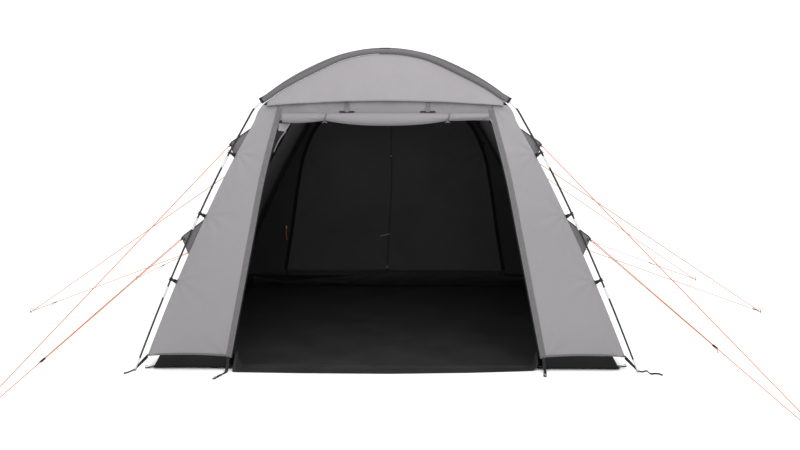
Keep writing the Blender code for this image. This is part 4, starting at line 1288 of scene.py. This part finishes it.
def rear_skirt():
    profile = skirt_profile(HEM_HEIGHT + 0.0005)
    share = np.linspace(-1, 1, 120)
    y = 2 * BAY - profile[:, :1] * REAR_SKIRT_TUCK
    points = grid_of((CORNER - FABRIC) * share, y, profile[:, 1:])
    hang = np.sin(np.linspace(0, math.pi, SKIRT_ROWS))[:, None]
    points = facing(points, (0, 1, 1))
    points = pushed(points, hang * 0.003 * soft_noise(points, 4.0, 88))
    points[..., 2] = np.maximum(points[..., 2], SKIRT_LOWEST)
    cloth("rear_skirt_cloth", points, "flap", "flap", nodes=["rear_skirt"])


# Poles and sleeves

def hoop_run(top, bottom, y, count, side):
    line = resample(cut(HOOP, top, bottom), count)
    return np.array([spot(point, y, side) for point in line])


def pole(hoop_name, y):
    """Black rods over the hoop, with bright ferrules, a pale joint by each shoulder and silver foot pins."""
    over = resample(both_sides(cut(HOOP, 3.0, PIN_LENGTH)), 260)
    parts = [(tube_mesh("rod", [spot(point, y) for point in over], POLE_RADIUS, 14), "rod")]
    for side in SIDES.values():
        joint = hoop_run(SLEEVE_END + 0.008, JOINT_END, y, 8, side)
        parts.append((tube_mesh("joint", joint, POLE_RADIUS + 0.0006, 14), "ferrule"))
        for top in FERRULE_TOPS:
            run = hoop_run(top, top - FERRULE_LENGTH, y, 12, side)
            radii = [FERRULE_RADIUS - 0.0009] + [FERRULE_RADIUS] * 10 + [FERRULE_RADIUS - 0.0009]
            parts.append((tube_mesh("ferrule", run, radii, 16), "ferrule"))
        for height in CLIP_HEIGHTS:
            parts += clip_parts(height, y, side)
        parts += foot_parts(y, side)
    joined(f"{hoop_name}_pole_rods", parts, [f"{hoop_name}_pole"])


def clip_parts(height, y, side):
    """A hook round the pole with its moulded body, and the short strap that sews it to the wall's seam."""
    middle, fabric, down = leg_frame(height, y, side)
    aside = np.array([0.0, 1.0, 0.0])
    hook = arc(middle, fabric, aside, POLE_RADIUS + 0.0032, -150, 150, 26)
    hook = np.vstack([hook, hook[-1:] + (hook[-1] - hook[-2]) * 1.5])
    collar = [hook + down * shift for shift in (-0.006, 0.006)]
    seat = LEG_STAND_OFF - FABRIC / 2 - GAP
    web = bowed([middle + fabric * 0.026, middle + fabric * 0.032 + down * 0.001,
                 middle + fabric * (seat - 0.001)], 10)
    patch = [middle + fabric * (seat - 0.0009) + down * d for d in (-0.018, 0.0, 0.018)]
    return [
        *((rounded_tube("hook", line, 0.0032, 10, 3), "plastic") for line in collar),
        (block_mesh("neck", (0.011, 0.013, 0.019), middle + fabric * 0.0135, fabric, aside), "plastic"),
        (block_mesh("body", (0.016, 0.018, 0.028), middle + fabric * 0.0255, fabric, aside, 0.003), "plastic"),
        (ribbon_mesh("strap", web, down, 0.024, 0.0034), "webbing"),
        (ribbon_mesh("patch", patch, aside, 0.024, 0.0018), "webbing"),
    ]


def foot_parts(y, side):
    """The silver pin, the black webbing from the wall's corner that takes it, and the plastic foot."""
    foot = spot(HOOP[-1], y, side)
    top = spot((across_at(HOOP, PIN_LENGTH), PIN_LENGTH), y, side)
    corner = spot((across_at(SKIN_OUT, HEM_HEIGHT + 0.008), HEM_HEIGHT + 0.008), y, side)
    pin = [top, top * 0.5 + foot * 0.5, foot + (0.0, 0.0, 0.005)]
    low = foot + np.array([0.004 * side, 0.0, 0.004])
    webbing = bowed([corner, corner * 0.55 + low * 0.45 + (0.0, -0.002, 0.002),
                     low * 0.8 + corner * 0.2, low], 24)
    second = bowed([corner - (0.0, 0.0, 0.014), corner * 0.5 + low * 0.5 - (0.0, 0.0, 0.008), low], 18)
    collar = [top + (top - foot) * 0.04, top - (top - foot) * 0.10]
    stub = arc(foot + (0.0, 0.0, 0.006), (1, 0, 0), (0, 1, 0), 0.0085, 0, 330, 24)
    turned = (0.69 * side, 0.5, 0.53)
    return [
        (tube_mesh("pin", pin, POLE_RADIUS * PIN_SCALE + 0.0008, 14), "ferrule"),
        (tube_mesh("collar", collar, POLE_RADIUS + 0.0012, 14), "ferrule"),
        (ribbon_mesh("webbing", webbing, turned, 0.014, 0.0018), "webbing"),
        (ribbon_mesh("loop", second, turned, 0.009, 0.0016), "webbing"),
        (tube_mesh("eyelet", stub, 0.0022, 10), "steel"),
        (tube_mesh("tip", [foot + (0.0, 0.0, 0.0004), foot + (0.0, 0.0, 0.012)], 0.0062, 14), "plastic"),
    ]


def sleeve(hoop_name, y):
    """The dark cloth tube round the pole. One half laps over the other at the top, and both end in black."""
    parts = []
    ends = {"left": (0.030, 0.0), "right": (0.035, 0.0016)}
    for side_name, side in SIDES.items():
        lap, proud = ends[side_name]
        half = resample(cut(HOOP, 3.0, SLEEVE_END + 0.010), 150)
        run = np.array([spot(point, y, side) for point in half])
        extra = np.array([spot((x, HOOP[0, 1] - 0.4 * x * x), y, side) for x in np.linspace(-lap, -0.004, 6)])
        run = np.vstack([extra, run])
        parts.append((sleeve_mesh(f"{side_name}_half", run, proud, side), "trim"))
        end = hoop_run(SLEEVE_END + 0.014, SLEEVE_END, y, 14, side)
        parts.append((sleeve_mesh(f"{side_name}_end", end, -0.0010, side), "webbing"))
        if hoop_name != "middle":
            out = 1 if y else -1
            parts.append((sleeve_flange(side_name, run, out, y, side), "trim"))
            parts.append((sleeve_flange(f"{side_name}_end", end, out, y, side, 0.0038), "webbing"))
    joined(f"{hoop_name}_sleeve", parts, [f"{hoop_name}_pole_sleeve"])


def sleeve_flange(name, run, out, y, side, proud=0.0030):
    """The sleeve's cloth sewn flat on the gable below the tube. It is widest above the shoulders."""
    across = np.abs(run[:, 0])
    along = np.gradient(run, axis=0)
    along /= np.linalg.norm(along, axis=1)[:, None]
    inwards = np.cross(along, (0.0, 1.0, 0.0)) * side
    reach = 0.0045 + 0.0125 * np.exp(-((across - 0.48) / 0.20) ** 2)
    reach = np.minimum(reach, 0.006 + np.maximum(run[:, 2] - SLEEVE_END, 0.0) * 0.6)
    reach = np.maximum(reach, stand_off(run[:, 2]) - FABRIC / 2 - SLEEVE_RADIUS + 0.006)
    edges = [run + inwards * (SLEEVE_RADIUS * 0.7), run + inwards * (SLEEVE_RADIUS + reach)[:, None]]
    rows = np.stack([edges[0] * (1 - share) + edges[1] * share for share in np.linspace(0, 1, 5)], axis=1)
    rows[..., 1] = y + out * proud
    front, back = rows + (0.0, out * 0.0006, 0.0), rows - (0.0, out * 0.0006, 0.0)
    uv = np.stack(np.meshgrid(np.linspace(0, 0.03, 5), run_lengths(run)), axis=-1)
    return plate_mesh(f"{name}_flange", front, back, uv)


def sleeve_mesh(name, run, proud, seed):
    """An open tube of cloth with a real wall, slightly ruffled."""
    sides = 24
    outer = tube_points(run, SLEEVE_RADIUS - 0.0005 + proud, sides)
    middle = run[:, None]
    ruffle = 1 + 0.030 * soft_noise(outer, (9.0, 20.0, 9.0), 90 + seed)
    outer = middle + (outer - middle) * ruffle[..., None]
    inner = middle + (outer - middle) * (1 - 0.0014 / SLEEVE_RADIUS)
    around = np.concatenate([outer, inner[::-1], outer[:1]])
    along = run_lengths(np.vstack([run, run[::-1], run[:1]]))
    v = np.linspace(0, 2 * math.pi * SLEEVE_RADIUS, sides + 1)
    mesh = grid_mesh(name, around, uv_grid(along, v), closed=True)
    bm = bmesh.new()
    bm.from_mesh(mesh)
    bmesh.ops.remove_doubles(bm, verts=bm.verts, dist=1e-6)
    bm.to_mesh(mesh)
    bm.free()
    mesh.set_sharp_from_angle(angle=math.radians(50))
    return mesh


# Guys and pegs

def gusset(name, place, hoop_y, side):
    """A triangle of cloth from the wall's seam out past the pole."""
    top, bottom, height, reach = place
    middle, fabric, _ = leg_frame(height, hoop_y, side)
    tip = middle - fabric * reach
    edge = resample(cut(SKIN_OUT, top, bottom), 20)
    edge = np.array([spot(point, hoop_y, side) for point in edge])
    share = np.linspace(0, 1, 16)
    neck = 0.011
    narrow = np.linspace(neck, -neck, 20)[:, None] * np.array([0.0, 0.0, 1.0])
    points = edge[:, None] * (1 - share)[None, :, None] + (tip + narrow)[:, None] * share[None, :, None]
    points[..., 1] += 0.002 * np.sin(share * math.pi) * np.sin(np.linspace(0, 9, 20))[:, None]
    chord = (edge[-1] - edge[0]) / np.linalg.norm(edge[-1] - edge[0])
    across = float(np.linalg.norm(np.cross(tip - edge[0], chord)))
    cloth(name, facing(points, (0, -1, 0)), "gusset", "gusset", thickness=0.0012,
          across=across)
    edges = (points[0], points[-1])
    bound = [(ribbon_mesh("edge", line, (0, 0, 1), 0.007, 0.0026), "webbing") for line in edges]
    return tip, fabric, bound


def plate_mesh(name, front, back, uv):
    """A closed plate between two like grids."""
    rows, columns = front.shape[:2]
    index = np.arange(rows * columns).reshape(rows, columns)
    behind = index + rows * columns
    rim = np.concatenate([index[0, :-1], index[:-1, -1], index[-1, :0:-1], index[:0:-1, 0]])
    rim_uv = uv.reshape(-1, 2)[rim]
    ring = np.append(rim, rim[0])
    sides = [[a, a + rows * columns, b + rows * columns, b] for a, b in zip(ring, ring[1:])]
    faces = corners(index).reshape(-1, 4).tolist() + corners(behind).reshape(-1, 4)[:, ::-1].tolist()
    faces += [[int(i) for i in side] for side in sides]
    cells = corners(uv).reshape(-1, 4, 2)
    after = np.roll(rim_uv, -1, axis=0)
    rim_cells = np.stack([rim_uv, rim_uv, after, after], axis=1)
    flat = np.concatenate([cells, cells[:, ::-1], rim_cells]).reshape(-1, 2)
    mesh = bpy.data.meshes.new(name)
    mesh.from_pydata(np.vstack([front.reshape(-1, 3), back.reshape(-1, 3)]).tolist(), [], faces)
    layer = mesh.uv_layers.new(name="UVMap")
    layer.data.foreach_set("uv", flat.astype(np.float32).ravel())
    bm = bmesh.new()
    bm.from_mesh(mesh)
    bmesh.ops.recalc_face_normals(bm, faces=bm.faces)
    bm.to_mesh(mesh)
    bm.free()
    mesh.shade_smooth()
    mesh.set_sharp_from_angle(angle=math.radians(50))
    return mesh


def guy_frame(start, peg, slider_at):
    """The slider's place on a guy, the way from the peg to the tip and the way across the guy."""
    away = (start - peg) / np.linalg.norm(start - peg)
    aside = np.cross(away, (0, 0, 1))
    return peg + away * slider_at, away, aside / np.linalg.norm(aside)


def peg_loop(peg, away, aside, until):
    """Two strands from a point on the guy to the loop round its peg."""
    flat = np.array([away[0], away[1], 0.0])
    flat /= np.linalg.norm(flat)
    bend = arc(peg, aside, -flat, RING_TURN, 0, 180, 14)
    near = peg + away * 0.03
    width = aside * (RING_TURN + 0.001)
    return np.vstack([until + aside * 0.002, near + width, bend, near - width, until - aside * 0.002])


def single_guy(start, peg):
    """The upper guy: one line to a loop at the peg, whose knot holds it."""
    knot, away, aside = guy_frame(start, peg, 0.075)
    return [
        (tube_mesh("line", [knot, (knot + start) / 2, start], CORD_RADIUS, 8), "orange"),
        (tube_mesh("loop", peg_loop(peg, away, aside, knot), CORD_RADIUS * 0.8, 8), "orange"),
        (knot_mesh("loop_knot", knot, 0.0045, CORD_RADIUS * 0.8, away), "orange"),
    ]


def doubled_guy(start, peg, slider_at):
    """The lower guy: two strands from the tip to a slider with a short tail, and one line on to the peg."""
    slider, away, aside = guy_frame(start, peg, slider_at)
    knot = peg + away * min(0.030, slider_at / 2)
    strands = [[slider + aside * 0.003 * way, start * 0.5 + slider * 0.5 + aside * 0.005 * way,
                start + aside * 0.007 * way] for way in (-1, 1)]
    tail = bowed([slider - aside * 0.004, slider - aside * 0.007 - away * 0.020,
                  slider - aside * 0.010 - away * 0.034 - (0.0, 0.0, 0.008)], 12)
    parts = [(tube_mesh("strand", line, CORD_RADIUS * 0.85, 8), "orange") for line in strands]
    return parts + [
        (tube_mesh("line", [slider, (slider + knot) / 2, knot], CORD_RADIUS, 8), "orange"),
        (tube_mesh("loop", peg_loop(peg, away, aside, knot), CORD_RADIUS * 0.8, 8), "orange"),
        (tube_mesh("tail", tail, CORD_RADIUS * 0.8, 8), "orange"),
        (knot_mesh("end_knot", tail[-1], 0.0035, 0.0016, away), "orange"),
        (block_mesh("slider", (0.034, 0.012, 0.009), slider, away, (0, 0, 1)), "plastic"),
    ]


def guys(side_name, hoop_name):
    side = SIDES[side_name]
    hoop_y = HOOPS[hoop_name] + (GUSSET_SHIFT if hoop_name != "rear" else -GUSSET_SHIFT)
    peg_x, peg_y = PEG_PLACES[side_name, hoop_name]
    parts = []
    for number, (level, top, bottom, height, reach) in enumerate(GUY_LEVELS):
        drop = 0.0 if hoop_name == "front" else GUY_DROPS[level]
        place = (top - drop, bottom - drop, height - drop, reach)
        tip, fabric, bound = gusset(f"{side_name}_{hoop_name}_{level}_gusset", place, hoop_y, side)
        pull = np.array([peg_x, peg_y, RING_HEIGHT]) - tip
        pull /= np.linalg.norm(pull)
        band = bowed([tip + fabric * 0.020, tip, tip + pull * 0.014], 12)
        knot = tip + pull * 0.022
        parts += bound + [(ribbon_mesh("band", band, (0, 0, 1), 0.020, 0.0026), "webbing"),
                          (knot_mesh("knot", knot, 0.005, 0.0019, pull), "orange")]
        peg = np.array([peg_x, peg_y, RING_HEIGHT + (number - 0.5) * 0.0042])
        slider_at = SLIDER_PLACES[side_name, hoop_name]
        parts += single_guy(knot, peg) if level == "upper" else doubled_guy(knot, peg, slider_at)
    joined(f"{side_name}_{hoop_name}_guy_set", parts, [f"{side_name}_{hoop_name}_guys"])


def peg_line(place, away, height=PEG_HEIGHT, scale=1.0):
    """The middle line of a hooked peg, from the ground up."""
    foot = np.array([place[0], place[1], 0.0])
    line = [foot, foot + (0.0, 0.0, height * 0.5)]
    line += [foot + (0.0, 0.0, height - drop * scale) - away * reach * scale for reach, drop in PEG_HOOK]
    return bowed(line, 34)


def pegs():
    for (side_name, hoop_name), (x, y) in PEG_PLACES.items():
        away = np.array([x, y - BAY, 0.0])
        away /= np.linalg.norm(away)
        line = peg_line((x, y), away)
        radii = np.full(len(line), PEG_RADIUS)
        radii[-3:] *= (0.96, 0.85, 0.55)
        joined(f"{side_name}_{hoop_name}_hook_peg", [(tube_mesh("stem", line, radii, 14), "steel")],
               [f"{side_name}_{hoop_name}_peg"])


def small_peg(place, away, height=0.020):
    line = peg_line(place, np.array(away, float), height, 0.7)
    return tube_mesh("small_peg", line, 0.0024, 10), "steel"


def edge_straps():
    """Short straps to small pegs: at the door's feet and at the front skirts' outer ends."""
    door_pegs = {"left": (-1.100, -0.184), "right": (1.040, -0.108)}
    skirt_pegs = {"left": (-1.606, 0.058), "right": (1.612, 0.128)}
    for side_name, side in SIDES.items():
        x, y = door_pegs[side_name]
        foot = DOOR_STATIONS[-1][0]
        start = np.array([side * (foot - 0.016), -0.005, 0.098])
        rest = np.array([side * (foot - 0.008), -0.030, 0.012])
        end = np.array([x, y, 0.0032])
        middle = rest * 0.45 + end * 0.55
        middle[2] = 0.005
        line = bowed([start, start * 0.4 + rest * 0.6 + (0.0, 0.004, 0.0), rest, middle, end], 40)
        loop = arc(end + (0.0, -0.006, 0.001), (1, 0, 0), (0, 1, 0), 0.009, 90, 450, 20)
        parts = [(ribbon_mesh("strap", line, (1, 0.15, 0), 0.020, 0.0020), "webbing"),
                 (tube_mesh("loop", loop, 0.0022, 8), "webbing"), small_peg((x, y - 0.012), (side, -0.3, 0.0))]
        joined(f"{side_name}_door_foot_strap", parts)
        peg = np.array(skirt_pegs[side_name])
        out = np.array([side * (SKIRT_FOOT_END - 0.03), 0.105, 0.0045])
        half_way = (out[:2] + peg) / 2
        line = bowed([out, (*half_way, 0.009), (*peg, 0.004)], 16)
        loop = arc((peg[0] + side * 0.006, peg[1], 0.004), (1, 0, 0), (0, 1, 0), 0.008, 180, 540, 18)
        parts = [(ribbon_mesh("strap", line, (0.3 * side, 1, 0), 0.022, 0.0020), "webbing"),
                 (tube_mesh("loop", loop, 0.0022, 8), "webbing"),
                 small_peg((peg[0] + side * 0.012, peg[1]), (side, 0, 0))]
        joined(f"{side_name}_skirt_strap", parts)


def foot_tails():
    """Loose webbing ends beside the front feet: a short one on the left and a wavy one on the right."""
    foot = HOOP[-1, 0]
    left = [(-foot - 0.004, -0.010, 0.006), (-foot - 0.016, -0.040, 0.004), (-foot - 0.030, -0.066, 0.003),
            (-foot - 0.046, -0.084, 0.003)]
    right = [(foot + 0.004, -0.006, 0.006), (foot + 0.020, -0.040, 0.012), (foot + 0.044, -0.034, 0.016),
             (foot + 0.066, -0.060, 0.005), (foot + 0.090, -0.074, 0.010), (foot + 0.116, -0.070, 0.007),
             (foot + 0.138, -0.086, 0.003)]
    for side_name, line in (("left", left), ("right", right)):
        tail = ribbon_mesh("tail", bowed(line, 40) + (0.0, 0.0, 0.003), (0, 0.6, 0.8), 0.012, 0.0018)
        joined(f"{side_name}_foot_tail", [(tail, "webbing")])


def inside_details():
    """Small things on the lining: a marker cord by the left rear seam and hanging loops under the roof."""
    x, y = -1.083, 3.0
    cord = bowed([(x, y, 0.608), (x - 0.004, y - 0.004, 0.548), (x + 0.003, y - 0.003, 0.486)], 14)
    end = [cord[0] + (0.0, 0.0, 0.018), cord[0]]
    joined("left_rear_marker_cord", [(tube_mesh("cord", cord, 0.0048, 10), "orange"),
                                     (rounded_tube("end", end, 0.0056, 10, 4), "pale_plastic")])
    loops = []
    for hoop_y in (0.05, BAY, 2 * BAY - 0.05):
        for across in (-0.35, 0.35):
            height = float(np.interp(across if across > 0 else -across, SKIN[:, 0], SKIN[:, 1])) - 0.022
            ring = arc((across, hoop_y + 0.012, height - 0.010), (0, 1, 0), (0, 0, 1), 0.014, -250, 70, 20)
            loops.append((ribbon_mesh("hanging_loop", ring, (1, 0, 0), 0.012, 0.0012), "webbing"))
    joined("roof_hanging_loops", loops)


# Stage, camera and light

def stage():
    mesh = bpy.data.meshes.new("studio_floor")
    bm = bmesh.new()
    bmesh.ops.create_circle(bm, cap_ends=True, segments=96, radius=60.0)
    bm.to_mesh(mesh)
    bm.free()
    floor = bpy.data.objects.new("studio_floor", mesh)
    bpy.context.scene.collection.objects.link(floor)
    tree = Tree("studio_floor_white")
    grain = tree.noise(3.0, 2.0)
    colour = tree.ramp(grain, [(0.3, (0.965, 0.965, 0.965)), (0.7, (0.975, 0.975, 0.975))])
    mesh.materials.append(tree.finish(colour, 0.9, Specular_IOR_Level=0.0))
    floor.location.z = -0.0005


def world():
    sky = bpy.data.worlds.new("studio")
    sky.use_nodes = True
    background = sky.node_tree.nodes["Background"]
    background.inputs["Color"].default_value = (1.0, 1.0, 1.0, 1.0)
    background.inputs["Strength"].default_value = 1.25
    bpy.context.scene.world = sky
    bpy.context.scene.view_settings.view_transform = "Standard"
    bpy.context.scene.view_settings.look = "None"


def lamp(name, place, target, size, power):
    light = bpy.data.lights.new(name, "AREA")
    light.shape = "SQUARE"
    light.size = size
    light.energy = power
    obj = bpy.data.objects.new(name, light)
    obj.location = place
    obj.rotation_euler = (Vector(target) - Vector(place)).to_track_quat("-Z", "Y").to_euler()
    obj.visible_camera = False
    bpy.context.scene.collection.objects.link(obj)


def lights():
    """A soft light above the doorway: the gable is brightest, and the front gets darker towards the ground.
    A weak one inside stands for the light that comes through the thin roof."""
    lamp("key", (0.5, -2.4, 3.9), (0.0, 0.0, 1.5), 3.0, 140)
    lamp("through_roof", (0.0, 1.7, 1.89), (0.0, 1.7, 0.0), 0.9, 4.5)


def camera():
    """The photograph's view: eye height 1.6 m, 5.5 m in front of the doorway, 38 mm on a full frame."""
    focal_pixels, width_pixels = 850.0, 800.0
    pitch, yaw = math.radians(6.444), math.radians(0.670)
    data = bpy.data.cameras.new("camera")
    data.sensor_width = 36.0
    data.lens = data.sensor_width * focal_pixels / width_pixels
    data.clip_end = 200.0
    obj = bpy.data.objects.new("camera", data)
    obj.location = (0.16, -5.50, 1.60)
    obj.rotation_euler = (math.pi / 2 - pitch, 0.0, yaw)
    bpy.context.scene.collection.objects.link(obj)
    bpy.context.scene.camera = obj


def dress():
    roof_and_walls()
    hoop_seams()
    front_gable()
    front_panels()
    door_edges()
    front_lintel()
    rolled_door()
    door_ties()
    door_corners()
    door_toggles()
    back_wall()
    back_door()
    back_corner_seams()
    inner_hoop_seam()
    tunnel()
    mud_wall()
    groundsheet()
    for side_name, side in SIDES.items():
        front_skirt(side_name, side)
        side_skirt(side_name, side)
    rear_skirt()
    for hoop_name, y in HOOPS.items():
        pole(hoop_name, y)
        sleeve(hoop_name, y)
    for side_name, hoop_name in PEG_PLACES:
        guys(side_name, hoop_name)
    pegs()
    edge_straps()
    foot_tails()
    inside_details()


camera()
world()
lights()
stage()
dress()
